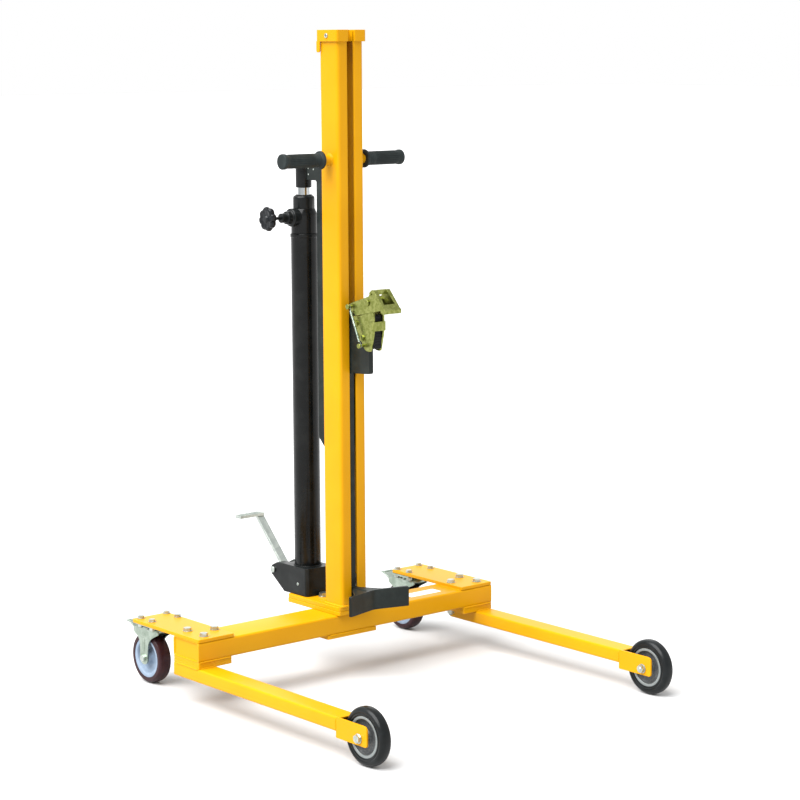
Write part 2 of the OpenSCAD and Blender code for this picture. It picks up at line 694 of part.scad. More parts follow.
module cheek_spacers() color(zinc) framed() for (s = [-1, 1], p = cheek_bolt_places) sided(s)
    difference() {
        bar_x(plate_wall / 2, cheek_x, p[0], p[1], 18);
        bar_x(0, cheek_x + 1, p[0], p[1], cheek_bolt_d + 2 * bolt_play);
    }

module gripper_bolts() color("#b3a866") framed() for (p = cheek_bolt_places) {
    bar_x(-cheek_x - cheek_wall - 3.5, cheek_x + cheek_wall + 3.5, p[0], p[1], cheek_bolt_d);
    for (x = [-1, 1]) translate([x * (cheek_x + cheek_wall + 1.75), p[0], p[1]]) rotate([0, 90, 0])
        cylinder(d = 13, h = 3.5, center = true);
}

module gripper_strap() color("#b3a866") framed() difference() {
    front = -pivot_y - 15;
    translate([-cheek_x - cheek_wall - 2.5, front - 3, pivot_z - 63])
        cube([2 * (cheek_x + cheek_wall + 2.5), 14, 21]);
    translate([-cheek_x - cheek_wall, front, pivot_z - 64]) cube([2 * (cheek_x + cheek_wall), 30, 23]);
}

module gripper_pad() color(black) framed() translate([-cheek_x + 0.3, -pivot_y - 11, pivot_z - 104])
    cube([2 * cheek_x - 0.6, pivot_y + 11 + bracket_front_y, 76]);

module gripper_pins() color("#b3a866") framed() {
    bar_x(-lever_x - lever_wall - 2, lever_x + lever_wall + 2, -pivot_y, pivot_z, pivot_pin_d);
    for (x = [-1, 1]) bar_x(x * (lever_x + lever_wall + 2) - 1.5, x * (lever_x + lever_wall + 2) + 1.5,
        -pivot_y, pivot_z, 14);
    bar_x(-spring_x - 4, spring_x + 4, anchor_y, anchor_z, spring_pin_d);
    for (x = [-1, 1]) bar_x(x * (spring_x + 5) - 1.5, x * (spring_x + 5) + 1.5, anchor_y, anchor_z, 11);
}

module beak_springs() color(zinc) framed() {
    run_y = spring_pin_y - anchor_y;
    run_z = spring_pin_z - anchor_z;
    length = norm([run_y, run_z]);
    for (s = [-1, 1]) translate([s * spring_x, anchor_y, anchor_z]) rotate([-atan2(run_y, run_z), 0, 0])
        translate([0, 0, 5]) cylinder(d = 6, h = length - 10);
}

module beak() color("#b3a866") framed() {
    for (s = [-1, 1]) sided(s) difference() {
        union() {
            side_plate([[spring_pin_y + 6, spring_pin_z + 4], [spring_pin_y + 6, spring_pin_z - 5],
                [-pivot_y + 44, pivot_z - 31], [-pivot_y + 38, pivot_z - 31],
                [-pivot_y - 46, pivot_z - 14], [-pivot_y - 52, pivot_z - 7],
                [-pivot_y - 19, pivot_z + 26], [-pivot_y - 9, pivot_z + 24],
                [-pivot_y - 3, pivot_z + 15], [spring_pin_y + 2, spring_pin_z + 7]], lever_x, lever_wall);
        }
        bar_x(0, 60, -pivot_y, pivot_z, pivot_pin_d + 2 * running);
        bar_x(0, 60, spring_pin_y, spring_pin_z, spring_pin_d);
    }
    difference() {
        hood_profile();
        translate([0, -pivot_y - 40, pivot_z - 10]) linear_extrude(height = 60)
            polygon([[-13, 17], [-15.5, -12], [15.5, -12], [13, 17]]);
    }
}

module hood_profile() side_plate([[-pivot_y - 9, pivot_z + 24], [-pivot_y - 19, pivot_z + 31],
    [-pivot_y - 25, pivot_z + 30], [-pivot_y - 58, pivot_z - 7], [-pivot_y - 64, pivot_z - 12],
    [-pivot_y - 64, pivot_z - 20], [-pivot_y - 58, pivot_z - 22], [-pivot_y - 50, pivot_z - 18],
    [-pivot_y - 49, pivot_z - 10], [-pivot_y - 19, pivot_z + 24], [-pivot_y - 12, pivot_z + 18]],
    -beak_width / 2, beak_width);

module beak_spring_pin() color("#b3a866") framed() {
    bar_x(-spring_x - 4, spring_x + 4, spring_pin_y, spring_pin_z, spring_pin_d);
    for (x = [-1, 1]) bar_x(x * (spring_x + 5) - 1.5, x * (spring_x + 5) + 1.5,
        spring_pin_y, spring_pin_z, 12);
}

// ---------------------------------------------------------------- rod

module piston_rod() color("#c9ced2") at_cylinder()
    translate([0, 0, block_top + 4]) cylinder(d = rod_d, h = rod_head_low + 26 - block_top - 4);

module piston() color(zinc) at_cylinder() translate([0, 0, block_top - 4]) difference() {
    cylinder(r = cylinder_d / 2 - cylinder_wall - running, h = 30);
    translate([0, 0, 8]) cylinder(d = rod_d, h = 30);
}

module rod_head() color(black) at_cylinder() difference() {
    translate([0, 0, rod_head_low]) cylinder(d = rod_head_d, h = rod_head_top - rod_head_low);
    translate([0, 0, rod_head_low - 1]) cylinder(d = rod_d, h = 27);
}

// ---------------------------------------------------------------- nodes

crossbeam();
leg(-1);  // leg_left
leg(1);  // leg_right
clamp_plate();
caster_mount(-1);  // caster_mount_left
caster_mount(1);  // caster_mount_right
foot(beam_top);  // foot_plate_lower
foot(beam_top + foot_plate);  // foot_plate_upper
base_bolts();
caster_bolts();
front_axles();
caster_plate(-1);  // caster_plate_left
caster_plate(1);  // caster_plate_right
mast(-1);  // mast_left
mast(1);  // mast_right
mast_cap();
cap_screws();
handle_bars();
grip(-1);  // grip_left
grip(1);  // grip_right
pump_base();
cylinder_tube();
cylinder_head();
gland_nut();
valve_body();
pedal_pin();
lift_plate();
drum_cradle();
roller_axles();
cheek(-1);  // cheek_left
cheek(1);  // cheek_right
cheek_spacers();
gripper_bolts();
gripper_strap();
gripper_pad();
gripper_pins();
beak_springs();
piston_rod();
piston();
rod_head();
beak();
beak_spring_pin();
rollers(roller_high_z);  // rollers_upper
rollers(roller_low_z);  // rollers_lower
pedal_lever();
pump_plunger();
release_stem();
release_knob();
caster_fork(-1);  // caster_fork_left
caster_rim(-1);  // caster_rim_left
caster_tread(-1);  // caster_tread_left
caster_brake(-1);  // caster_brake_left
caster_fork(1);  // caster_fork_right
caster_rim(1);  // caster_rim_right
caster_tread(1);  // caster_tread_right
caster_brake(1);  // caster_brake_right
wheel_rim(-1);  // wheel_rim_left
tyre(-1);  // tyre_left
wheel_rim(1);  // wheel_rim_right
tyre(1);  // tyre_right
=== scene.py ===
# %% [markdown]
# # A foot-pump drum lifter
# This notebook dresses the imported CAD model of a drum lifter: a wheeled base, a slotted mast,
# a sliding carriage with a rim gripper, and a hydraulic jack behind the mast. The CAD gives
# every size and every joint. Here each piece gets its soft edges, welds, threads and finish.

import bmesh
import bpy
import mathutils
import numpy as np
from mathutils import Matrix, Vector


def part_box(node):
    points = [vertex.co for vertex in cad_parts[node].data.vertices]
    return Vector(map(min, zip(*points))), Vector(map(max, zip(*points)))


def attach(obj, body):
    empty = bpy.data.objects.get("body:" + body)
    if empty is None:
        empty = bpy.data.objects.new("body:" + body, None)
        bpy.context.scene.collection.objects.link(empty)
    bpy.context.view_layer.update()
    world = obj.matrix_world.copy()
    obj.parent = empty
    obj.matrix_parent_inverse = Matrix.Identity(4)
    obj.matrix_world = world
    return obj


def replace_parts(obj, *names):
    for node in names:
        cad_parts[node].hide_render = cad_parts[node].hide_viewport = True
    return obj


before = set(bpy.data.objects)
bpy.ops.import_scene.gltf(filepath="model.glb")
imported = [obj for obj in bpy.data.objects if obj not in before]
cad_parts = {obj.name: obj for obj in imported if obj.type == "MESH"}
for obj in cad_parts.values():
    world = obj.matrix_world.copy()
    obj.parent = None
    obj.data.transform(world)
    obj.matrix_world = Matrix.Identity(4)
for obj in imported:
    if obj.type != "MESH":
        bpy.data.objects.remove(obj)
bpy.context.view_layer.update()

# %% [markdown]
# ## Millimetres from the crossbeam
# A maker measures such a machine in millimetres from one good face. Here that face is the
# front of the crossbeam, so y = 0 is there and z = 0 is the floor. `span` reads a CAD node's
# corners in that way, and `placed` turns finished points back into Blender's metres.

# %% Measures
MM = 0.001
BEAM_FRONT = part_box("crossbeam")[0].y


def span(node):
    """Lowest and highest corner of a CAD node: metres less the beam's front, over 0.001."""
    return [(np.array(corner) - [0, BEAM_FRONT, 0]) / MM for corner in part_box(node)]


def placed(points):
    """Millimetres from the beam's front face, times 0.001, plus that face's own place."""
    return np.asarray(points, float) * MM + [0, BEAM_FRONT, 0]

# %% [markdown]
# ## Skins over rings
# Nearly every piece of this machine is a row of closed rings with a skin over them: a plate
# is two rings, a turned part is many circles, a bent bar is one section carried along a path.
# So there is one function that makes the faces, and each shape only works out its rings,
# as whole numpy arrays.

# %% Rings to faces
TURN = 2 * np.pi


def loft(rings, wrap=False):
    """Faces between neighbouring rings: point (i, j) joins (i, j+1), (i+1, j+1) and (i+1, j).
    The end rings are closed with one face each, or joined to each other when wrap is set."""
    rings = np.asarray(rings, float)
    rows, columns = rings.shape[:2]
    i, j = np.meshgrid(np.arange(rows if wrap else rows - 1), np.arange(columns), indexing="ij")
    below, after = (i + 1) % rows, (j + 1) % columns
    corners = [i * columns + j, i * columns + after, below * columns + after, below * columns + j]
    faces = np.stack(corners, -1).reshape(-1, 4).tolist()
    if not wrap:
        faces += [list(range(columns))[::-1], list(range((rows - 1) * columns, rows * columns))]
    return rings.reshape(-1, 3), faces


def circle(radius, steps=64):
    """Points (r cos a, r sin a) for steps equal angles a."""
    a = np.arange(steps) * TURN / steps
    return np.stack([np.cos(a), np.sin(a)], -1) * radius


def rounded(points, radius, steps=6, closed=True):
    """Each corner p gives way to a curve between a and b, the points `radius` before and after
    it on its two edges: (1-t)^2 a + 2 t (1-t) p + t^2 b, for t from 0 to 1."""
    points = np.asarray(points, float)
    reach = np.array(np.broadcast_to(radius, len(points)), float)
    if not closed:
        reach[[0, -1]] = 0
    before, after = np.roll(points, 1, 0) - points, np.roll(points, -1, 0) - points
    share = [np.minimum(reach / (np.linalg.norm(e, axis=1) + 1e-9), 0.49)[:, None]
             for e in (before, after)]
    a, b = points + before * share[0], points + after * share[1]
    t = np.linspace(0, 1, steps)[None, :, None]
    curve = (1 - t) ** 2 * a[:, None] + 2 * t * (1 - t) * points[:, None] + t**2 * b[:, None]
    curve = curve.reshape(-1, points.shape[1])
    step = np.linalg.norm(curve - np.roll(curve, 1, 0), axis=1)
    return curve[(step > 1e-6) | (~np.array(closed) & (np.arange(len(curve)) == 0))]


def rectangle(x0, x1, y0, y1, radius=0.0):
    """The four corners of a rectangle, rounded off by radius."""
    corners = [(x0, y0), (x1, y0), (x1, y1), (x0, y1)]
    return rounded(corners, radius) if radius else np.array(corners, float)

# %% Rings to solids
OUTLINE_AXES = {"x": (1, 2, 0), "y": (0, 2, 1), "z": (0, 1, 2)}


def raised(outline, height, axis):
    """The flat outline's two numbers on the two other axes, and height on this one."""
    points = np.empty((len(outline), 3))
    first, second, up = OUTLINE_AXES[axis]
    points[:, first], points[:, second], points[:, up] = outline[:, 0], outline[:, 1], height
    return points


def plate(outline, low, high, axis):
    """A plate or bar: one outline at height low and again at height high."""
    outline = np.asarray(outline, float)
    return loft([raised(outline, low, axis), raised(outline, high, axis)])


def open_tube(outer, inner, low, high, axis, floor=0.0):
    """A tube that is open at its low end and closed at its high end by a wall `floor` thick:
    outer ring high, outer low, inner low, inner high less floor."""
    return loft([raised(outer, high, axis), raised(outer, low, axis),
                 raised(inner, low, axis), raised(inner, high - floor, axis)])


WAYS = {"+x": "yzx", "-x": "zyx", "+y": "zxy", "-y": "xzy", "+z": "xyz", "-z": "yxz"}


def stand(shell, centre, way):
    """Turns a shell that was made along +z so that it points along `way`, and moves it to centre.
    The letters of WAYS say which world axis each local axis goes to."""
    points, faces = shell
    world = np.empty_like(points)
    for local, letter in enumerate(WAYS[way]):
        sign = -1 if (way[0] == "-" and local == 2) else 1
        world[:, "xyz".index(letter)] = points[:, local] * sign
    return world + np.asarray(centre, float), faces


def turned(profile, steps=64, wrap=False):
    """A lathe: profile point (r, h) becomes the circle r at height h."""
    profile = np.asarray(profile, float)
    ring = circle(1.0, steps)
    flat = profile[:, 0][:, None, None] * ring[None]
    height = np.broadcast_to(profile[:, 1][:, None, None], flat.shape[:2] + (1,))
    return loft(np.concatenate([flat, height], -1), wrap)


def disc(radius, low, high, edge=0.6, hole=0.0, steps=64):
    """A turned disc with its rims rounded by edge, and a hole through it if one is asked for."""
    profile = rounded([(hole, low), (radius, low), (radius, high), (hole, high)],
                      [0, edge, edge, 0], 4)
    return turned(profile, steps, wrap=hole > 0)


def resampled(path, step):
    """The same line with points at equal lengths along it, about `step` apart."""
    path = np.asarray(path, float)
    length = np.concatenate([[0], np.cumsum(np.linalg.norm(np.diff(path, axis=0), axis=1))])
    even = np.linspace(0, length[-1], max(int(length[-1] / step), 2) + 1)
    return np.stack([np.interp(even, length, path[:, k]) for k in range(3)], -1)


def swept(section, path, up=(0, 0, 1), scale=1.0, wrap=False):
    """The section (s, u) at each point of the path: point + scale (s side + u top), where side
    is the tangent crossed with up, and top is side crossed with the tangent."""
    path = np.asarray(path, float)
    run = np.roll(path, -1, 0) - np.roll(path, 1, 0) if wrap else np.gradient(path, axis=0)
    tangent = run / np.linalg.norm(run, axis=1, keepdims=True)
    side = np.cross(tangent, np.broadcast_to(up, path.shape))
    side /= np.linalg.norm(side, axis=1, keepdims=True)
    top = np.cross(side, tangent)
    scale = np.broadcast_to(scale, len(path))[:, None, None]
    section = np.asarray(section, float)[None]
    return loft(path[:, None] + scale * (section[..., :1] * side[:, None]
                                         + section[..., 1:] * top[:, None]), wrap)


def mirrored(shells):
    """The same shells on the other side: x changes its sign."""
    return [(points * [-1, 1, 1], faces) for points, faces in shells]


SIDES = (("left", mirrored), ("right", list))

# %% [markdown]
# ## From shells to a piece
# A piece is one mesh made of one or more closed shells. Its doubles are merged and its normals
# are turned outwards before a Bevel modifier softens the edges, because a real plate has no
# edge that is perfectly sharp: the thin bright line along each edge is what makes metal look
# like metal. Every piece also says what it rides on and which CAD nodes it stands for.

# %% Build a piece
made = {}
SOFT_ANGLE = np.radians(32)


def piece(name, body, slot, finish, shells, replaces=(), bevel=0.0, segments=3):
    """One object at the origin from closed shells, with bevel in millimetres."""
    starts = np.cumsum([0] + [len(points) for points, _ in shells])
    points = placed(np.concatenate([points for points, _ in shells]))
    faces = [[k + start for k in face] for (_, own), start in zip(shells, starts) for face in own]
    mesh = bpy.data.meshes.new(name)
    mesh.from_pydata(points, [], faces)
    work = bmesh.new()
    work.from_mesh(mesh)
    bmesh.ops.remove_doubles(work, verts=work.verts, dist=4e-6)
    bmesh.ops.dissolve_degenerate(work, edges=work.edges, dist=1e-6)
    bmesh.ops.recalc_face_normals(work, faces=work.faces)
    work.to_mesh(mesh)
    work.free()
    mesh.shade_smooth()
    mesh.materials.append(finish)
    made_object = bpy.data.objects.new(name, mesh)
    bpy.context.scene.collection.objects.link(made_object)
    if bevel:
        soften(made_object, bevel, segments)
    else:
        mesh.set_sharp_from_angle(angle=SOFT_ANGLE)
    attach(made_object, body)
    if replaces:
        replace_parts(made_object, *replaces)
    made[name] = len(mesh.polygons)
    return made_object


def soften(target, width, segments, flatten=False):
    """A Bevel modifier on every edge that turns by more than SOFT_ANGLE; flatten also leans the
    shading towards the widest faces, for meshes whose flats are made of several faces."""
    bevel = target.modifiers.new("soft_edges", "BEVEL")
    bevel.width = width * MM
    bevel.segments = segments
    bevel.limit_method = "ANGLE"
    bevel.angle_limit = SOFT_ANGLE
    bevel.use_clamp_overlap = True
    bevel.harden_normals = True
    if flatten:
        target.modifiers.new("flat_faces", "WEIGHTED_NORMAL").keep_sharp = True

# %% [markdown]
# ## Shader maths in Python
# A Blender material is a graph of nodes. Written out link by link it is hard to read, so one
# small class wraps a socket and lets Python's own operators add the Math nodes, as in
# `0.3 + 0.2 * grain`. Any other node comes from `Finish.node`, settings first, then sockets.

# %% Values and finishes
class Value:
    """A shader socket that takes part in arithmetic. Each operator adds one Math node."""

    def __init__(self, finish, socket):
        self.finish, self.socket = finish, socket

    def _math(self, operation, *terms):
        return self.finish.node("ShaderNodeMath", {"operation": operation}, dict(enumerate(terms)))

    def __add__(self, other):
        return self._math("ADD", self, other)

    def __mul__(self, other):
        return self._math("MULTIPLY", self, other)

    def step(self, low, high):
        """0 below low, 1 above high, and a smooth rise between them."""
        sockets = {"Value": self, "From Min": low, "From Max": high}
        return self.finish.node("ShaderNodeMapRange", {"interpolation_type": "SMOOTHSTEP"}, sockets)

    __radd__, __rmul__ = __add__, __mul__


class Finish:
    """One material: a Principled shader, constants on its own sockets, and nodes that feed it."""

    def __init__(self, name, **constants):
        self.material = bpy.data.materials.new(name)
        self.material.use_nodes = True
        self.tree = self.material.node_tree
        self.shader = self.tree.nodes["Principled BSDF"]
        for socket, value in constants.items():
            self.shader.inputs[socket.replace("_", " ")].default_value = value
        self.where = self.node("ShaderNodeTexCoord", output="Object")

    def node(self, kind, settings=None, sockets=None, output=0):
        """Adds a node, sets its settings, then fills its sockets with numbers or links."""
        new = self.tree.nodes.new(kind)
        for key, value in (settings or {}).items():
            setattr(new, key, value)
        for key, value in (sockets or {}).items():
            if isinstance(value, Value):
                self.tree.links.new(value.socket, new.inputs[key])
            else:
                new.inputs[key].default_value = value
        return Value(self, new.outputs[output])

    def noise(self, scale, detail=3.0, roughness=0.55, stretch=(1, 1, 1), spread=0.0):
        """Cloudy values from 0 to 1, scale patches to a metre, drawn out by stretch."""
        where = self.where
        if stretch != (1, 1, 1):
            where = self.node("ShaderNodeMapping", sockets={"Vector": where, "Scale": stretch})
        sockets = {"Vector": where, "Scale": scale, "Detail": detail, "Roughness": roughness,
                   "Distortion": spread}
        return self.node("ShaderNodeTexNoise", sockets=sockets)

    def cells(self, scale):
        """The distance from the nearest point of a random crowd, scale cells to a metre."""
        return self.node("ShaderNodeTexVoronoi", sockets={"Vector": self.where, "Scale": scale})

    def mixed(self, share, first, second):
        """first where share is 0 and second where it is 1, both colours."""
        sockets = {0: share}
        for key, colour in ((6, first), (7, second)):
            sockets[key] = colour if isinstance(colour, Value) else (*colour, 1.0)
        return self.node("ShaderNodeMix", {"data_type": "RGBA"}, sockets, output=2)

    def shade(self, **sockets):
        """Links the Principled shader's changing sockets."""
        for key, value in sockets.items():
            self.tree.links.new(value.socket, self.shader.inputs[key.replace("_", " ")])

    def relief(self, height, depth, strength=1.0):
        """A Bump node: height times depth, in metres, tilts the surface."""
        sockets = {"Height": height, "Distance": depth, "Strength": strength}
        self.shade(Normal=self.node("ShaderNodeBump", sockets=sockets))

# %% [markdown]
# ## Painted steel
# The frame is steel tube and plate in yellow powder coat. The powder melts in an oven and
# flows into a skin with faint orange peel, a little thinner and warmer at the edges. Two sizes
# of noise give the peel, a slow one drifts the colour, and a few specks of shop dust break the
# gloss. The hydraulic parts wear a thinner black paint that lets more of the steel show.

# %% Paints
def powder_coat():
    """Yellow: colour drifts with slow noise, roughness with dust, relief is orange peel."""
    paint = Finish("yellow_powder_coat", Specular_IOR_Level=0.1, Coat_Weight=0.02,
                   Coat_Roughness=0.15)
    drift = paint.noise(5.0, 3.0)
    dust = paint.noise(160.0, 6.0, 0.7).step(0.62, 0.8)
    colour = paint.mixed(drift.step(0.3, 0.7), YELLOW_WARM, YELLOW_FRESH)
    paint.shade(Base_Color=paint.mixed(dust * 0.1, colour, (0.42, 0.30, 0.08)),
                Roughness=0.3 + drift * 0.12 + dust * 0.25)
    paint.relief(paint.noise(430.0, 2.0, 0.4) + paint.noise(90.0, 2.0) * 0.7, 0.00016, 0.5)
    return paint.material


def black_coat(name, colour, rough, peel):
    """Black paint: a second, greyer tone in patches, fine peel, and fingerprints in the gloss."""
    paint = Finish(name, Specular_IOR_Level=0.12, Coat_Weight=0.12, Coat_Roughness=0.1)
    patches = paint.noise(22.0, 5.0, 0.62)
    smears = paint.noise(60.0, 3.0, 0.5, stretch=(1, 1, 0.25)).step(0.45, 0.75)
    worn = tuple(1.7 * channel + 0.003 for channel in colour)
    paint.shade(Base_Color=paint.mixed(patches.step(0.4, 0.75), colour, worn),
                Roughness=rough + patches * 0.14 + smears * 0.08)
    paint.relief(paint.noise(peel, 3.0, 0.5), 0.00012, 0.5)
    return paint.material


YELLOW_WARM, YELLOW_FRESH = (0.51, 0.236, 0.001), (0.55, 0.262, 0.002)
frame_paint = powder_coat()
black_paint = black_coat("black_paint", (0.004, 0.005, 0.005), 0.26, 380.0)
jack_paint = black_coat("charcoal_paint", (0.002, 0.0025, 0.0025), 0.2, 520.0)
carriage_paint = black_coat("grey_black_paint", (0.008, 0.011, 0.010), 0.38, 300.0)

# %% [markdown]
# ## Plated and polished metal
# Bolts, castor forks and the pedal are zinc plated, then passivated: a cool silver with a
# breath of green. The gripper has the older yellow passivate, whose colour wanders from straw
# to olive and brown with its thickness. The rod is hard chrome with fine lengthwise
# polish. Drawn-out noise makes the rolling and polishing marks. On the chrome the same noise
# also paints dark and bright lengthwise bands into the base colour: painted reflections.

# %% Metals
def plated(name, tones, rough, mottle, grain=(1, 1, 1)):
    """Metal whose colour wanders between three tones by two noises; grain draws the scratches out.
    On chrome, grain also draws the tones into lengthwise bands of painted reflection.
    """
    metal = Finish(name, Metallic=1.0)
    cloud, fleck = metal.noise(mottle, 4.0, 0.6, grain, 0.6), metal.noise(mottle * 4.3, 5.0, 0.65,
                                                                          grain)
    film_and_painted_reflection = metal.mixed(cloud.step(0.34, 0.66), tones[0], tones[1])
    film_and_painted_reflection = metal.mixed(fleck.step(0.52, 0.78) * 0.7, film_and_painted_reflection, tones[2])
    scratch = metal.noise(900.0, 3.0, 0.6, stretch=grain)
    metal.shade(Base_Color=film_and_painted_reflection, Roughness=rough + cloud * 0.1 + scratch * 0.1)
    metal.relief(scratch + fleck * 0.6, 0.00006, 0.45)
    return metal.material


zinc = plated("clear_zinc", [(0.40, 0.44, 0.41), (0.52, 0.56, 0.52), (0.27, 0.31, 0.28)], 0.25,
              70.0)
fork_zinc = plated("pressed_zinc", [(0.26, 0.32, 0.26), (0.40, 0.46, 0.40), (0.14, 0.19, 0.15)],
                   0.24, 34.0)
gold_zinc = plated("yellow_zinc", [(0.18, 0.20, 0.045), (0.30, 0.32, 0.10), (0.085, 0.095, 0.035)],
                   0.22, 130.0)
# Chrome's tones, dark to bright and drawn out lengthwise, paint reflections into the base colour as
# bands of shade and highlight.
chrome = plated("hard_chrome_painted_reflection", [(0.16, 0.18, 0.18), (0.72, 0.75, 0.76), (0.30, 0.33, 0.33)], 0.05,
                38.0, (1, 1, 0.01))

# %% [markdown]
# ## Rubber, plastic and cast iron
# The tyres are solid black rubber with a bluish shine on the shoulders, the castor treads are
# a dark wine-coloured polyurethane on a blue-grey core, the hand grips are soft grey rubber
# and the knob is pressed from glossy black resin. They differ most in roughness and in how
# coarse their skin is, so one function takes both.

# %% Moulded goods
def moulded(name, colour, tint, rough, skin, depth, coat=0.0):
    """A moulded skin: two close tones in patches, a pebbled relief, bloom where it is rougher."""
    goods = Finish(name, Specular_IOR_Level=0.16, Coat_Weight=coat, Coat_Roughness=0.12)
    bloom, pebble = goods.noise(26.0, 5.0, 0.6), goods.cells(skin)
    goods.shade(Base_Color=goods.mixed(bloom.step(0.35, 0.75), colour, tint),
                Roughness=rough + bloom * 0.18 + pebble * 0.05)
    goods.relief(pebble + goods.noise(skin * 0.5, 3.0) * 0.6, depth, 0.5)
    return goods.material


def cast_iron():
    """Sand-cast iron under thin dark paint: coarse grain in both the tone and the relief."""
    iron = Finish("painted_iron", Metallic=0.25)
    sand, patch = iron.noise(260.0, 6.0, 0.7), iron.noise(30.0, 4.0)
    iron.shade(Base_Color=iron.mixed(sand.step(0.35, 0.7), (0.045, 0.05, 0.053),
                                     (0.10, 0.105, 0.108)),
               Roughness=0.42 + patch * 0.2)
    iron.relief(sand, 0.0004, 0.6)
    return iron.material


rubber = moulded("black_rubber", (0.004, 0.005, 0.005), (0.008, 0.010, 0.011), 0.2, 700.0, 0.00006,
                 0.05)
grip_rubber = moulded("grey_grip_rubber", (0.010, 0.014, 0.014), (0.020, 0.027, 0.027), 0.42, 420.0,
                      0.0004)
pad_rubber = moulded("pad_rubber", (0.006, 0.006, 0.006), (0.012, 0.012, 0.012), 0.5, 350.0, 0.0002)
tread_plastic = moulded("wine_polyurethane", (0.018, 0.005, 0.007), (0.032, 0.010, 0.013), 0.24,
                        500.0, 0.00006, 0.06)
core_plastic = moulded("blue_grey_core", (0.18, 0.235, 0.31), (0.25, 0.31, 0.39), 0.36, 300.0,
                       0.0001)
resin = moulded("glossy_resin", (0.004, 0.005, 0.006), (0.008, 0.009, 0.011), 0.12, 260.0, 0.00003,
                0.12)
vinyl = moulded("blank_vinyl", (0.78, 0.79, 0.80), (0.72, 0.74, 0.76), 0.3, 240.0, 0.00005, 0.3)
iron = cast_iron()

# What a piece rides on, its slot and its finish, for the sets that come up most.
PAINTED = ("frame", "frame_paint", frame_paint)
PLATED = ("frame", "zinc", zinc)
JET = ("frame", "black_paint", black_paint)
CARRIAGE = ("lift", "black_paint", carriage_paint)
GILT = ("lift", "gold_zinc", gold_zinc)

# %% [markdown]
# ## Parts that come by the dozen
# A hexagon bolt head is a hexagonal bar whose top is turned to a shallow cone, so its corners
# fall away in six curves. One function gives the radius of the hexagon at every angle, and the
# height of the chamfer follows from it. Washers, thread ends and weld beads repeat as well.

# %% Bolts, nuts and threads
# Shares of the screw's diameter.
WASHER_R, WASHER_THICK, ACROSS_FLATS, HEAD_TALL, NUT_TALL = 1.05, 0.2, 1.62, 0.62, 0.72


def hexagon(flats, steps=72):
    """Distance from the middle to the side of a hexagon: half the flats over cos of the angle
    from the nearest flat's middle."""
    a = np.arange(steps) * TURN / steps
    return a, flats / 2 / np.cos((a + TURN / 12) % (TURN / 6) - TURN / 12)


def hex_prism(flats, height, chamfer_low=False):
    """Rings of a hexagon; the rim's height falls by half of how far a corner stands out."""
    a, radius = hexagon(flats)
    inner = np.minimum(radius, flats / 2 * 0.98)
    fall = (radius - inner) * 0.5
    stack = [(inner, 0 * a), (radius, fall)] if chamfer_low else [(radius * 0.985, 0 * a),
                                                                  (radius, 0 * a + 0.15)]
    stack += [(radius, height - fall), (inner, 0 * a + height), (inner * 0.9, 0 * a + height)]
    return loft([np.stack([r * np.cos(a), r * np.sin(a), h], -1) for r, h in stack])


def thread(diameter, length, pitch):
    """A screw: radius less a triangle wave of height/pitch + angle/turn, with a chamfered tip."""
    a = np.arange(28) * TURN / 28
    rows = np.linspace(0, length, int(length / pitch * 6) + 2)[:, None]
    wave = np.abs(((rows / pitch + a / TURN) % 1.0) - 0.5) * 2
    taper = np.clip((length - rows) / (0.9 * pitch), 0, 1)
    radius = diameter / 2 - 0.55 * pitch * wave - 0.5 * pitch * (1 - taper)
    return loft(np.stack([radius * np.cos(a), radius * np.sin(a), rows + 0 * a], -1))


def bolt_head(centre, way, size, washer=True):
    """Washer and chamfered head, standing on centre and pointing along way."""
    rise = WASHER_THICK * size if washer else 0.0
    shells = [stand(shifted(hex_prism(ACROSS_FLATS * size, HEAD_TALL * size), rise), centre, way)]
    if washer:
        shells.append(stand(disc(WASHER_R * size, 0, rise, 0.25, steps=48), centre, way))
    return shells


def nut(centre, way, size, tail):
    """Washer, nut and the screw's end that stands out of it by tail."""
    shells = [stand(disc(WASHER_R * size, 0, WASHER_THICK * size, 0.25, steps=48), centre, way),
              stand(shifted(hex_prism(ACROSS_FLATS * size, NUT_TALL * size, True),
                            WASHER_THICK * size), centre, way)]
    shells.append(stand(shifted(thread(size, 0.25 * size + tail, 0.15 * size), 0.8 * size), centre,
                        way))
    return shells


def shifted(shell, rise):
    """The shell moved up its own z."""
    return shell[0] + [0, 0, rise], shell[1]

# %% Weld beads
BEAD_STEP, RIPPLE, FADE = 0.9, 3.2, 3.0


def bead(path, size, up=(0, 0, 1)):
    """A weld: a round section whose size is 0.84 + 0.16 |cos| of the distance, once per ripple,
    and which tapers to nothing over its last ripple."""
    line = resampled(path, BEAD_STEP)
    along = np.arange(len(line)) * BEAD_STEP
    ripple = 0.84 + 0.16 * np.abs(np.cos(np.pi * along / RIPPLE))
    ends = np.clip(np.minimum(along, along[-1] - along) / FADE, 0.25, 1)
    return swept(circle(size, 10), line, up, ripple * ends**0.5)

# %% [markdown]
# ## The base
# The base is a crossbeam of rectangular tube with two lower leg tubes bolted under its ends.
# Rolled tube has soft corners, so each section is a rectangle with its corners rounded off.
# The beam's ends are closed by plates set a little inside the tube and welded all round.

# %% Crossbeam and clamp plate
beam_low, beam_high = span("crossbeam")
beam_under = span("clamp_plate")[1][2]
leg_low, leg_high = span("leg_right")
spacer_x = leg_low[0]


def beam_end_rings(section, ends, inset):
    """Rings of a tube with a sunk end plate: plate edge, plate rim, tube lip, tube side, and
    the same in reverse at the other end."""
    middle = section.mean(0)
    shrink = [(inset, 0.88), (0.0, 0.915), (0.0, 0.985), (0.9, 1.0)]
    first = [raised(middle + (section - middle) * s, ends[0] + d, "x") for d, s in shrink]
    last = [raised(middle + (section - middle) * s, ends[1] - d, "x") for d, s in shrink[::-1]]
    return loft(first + last)


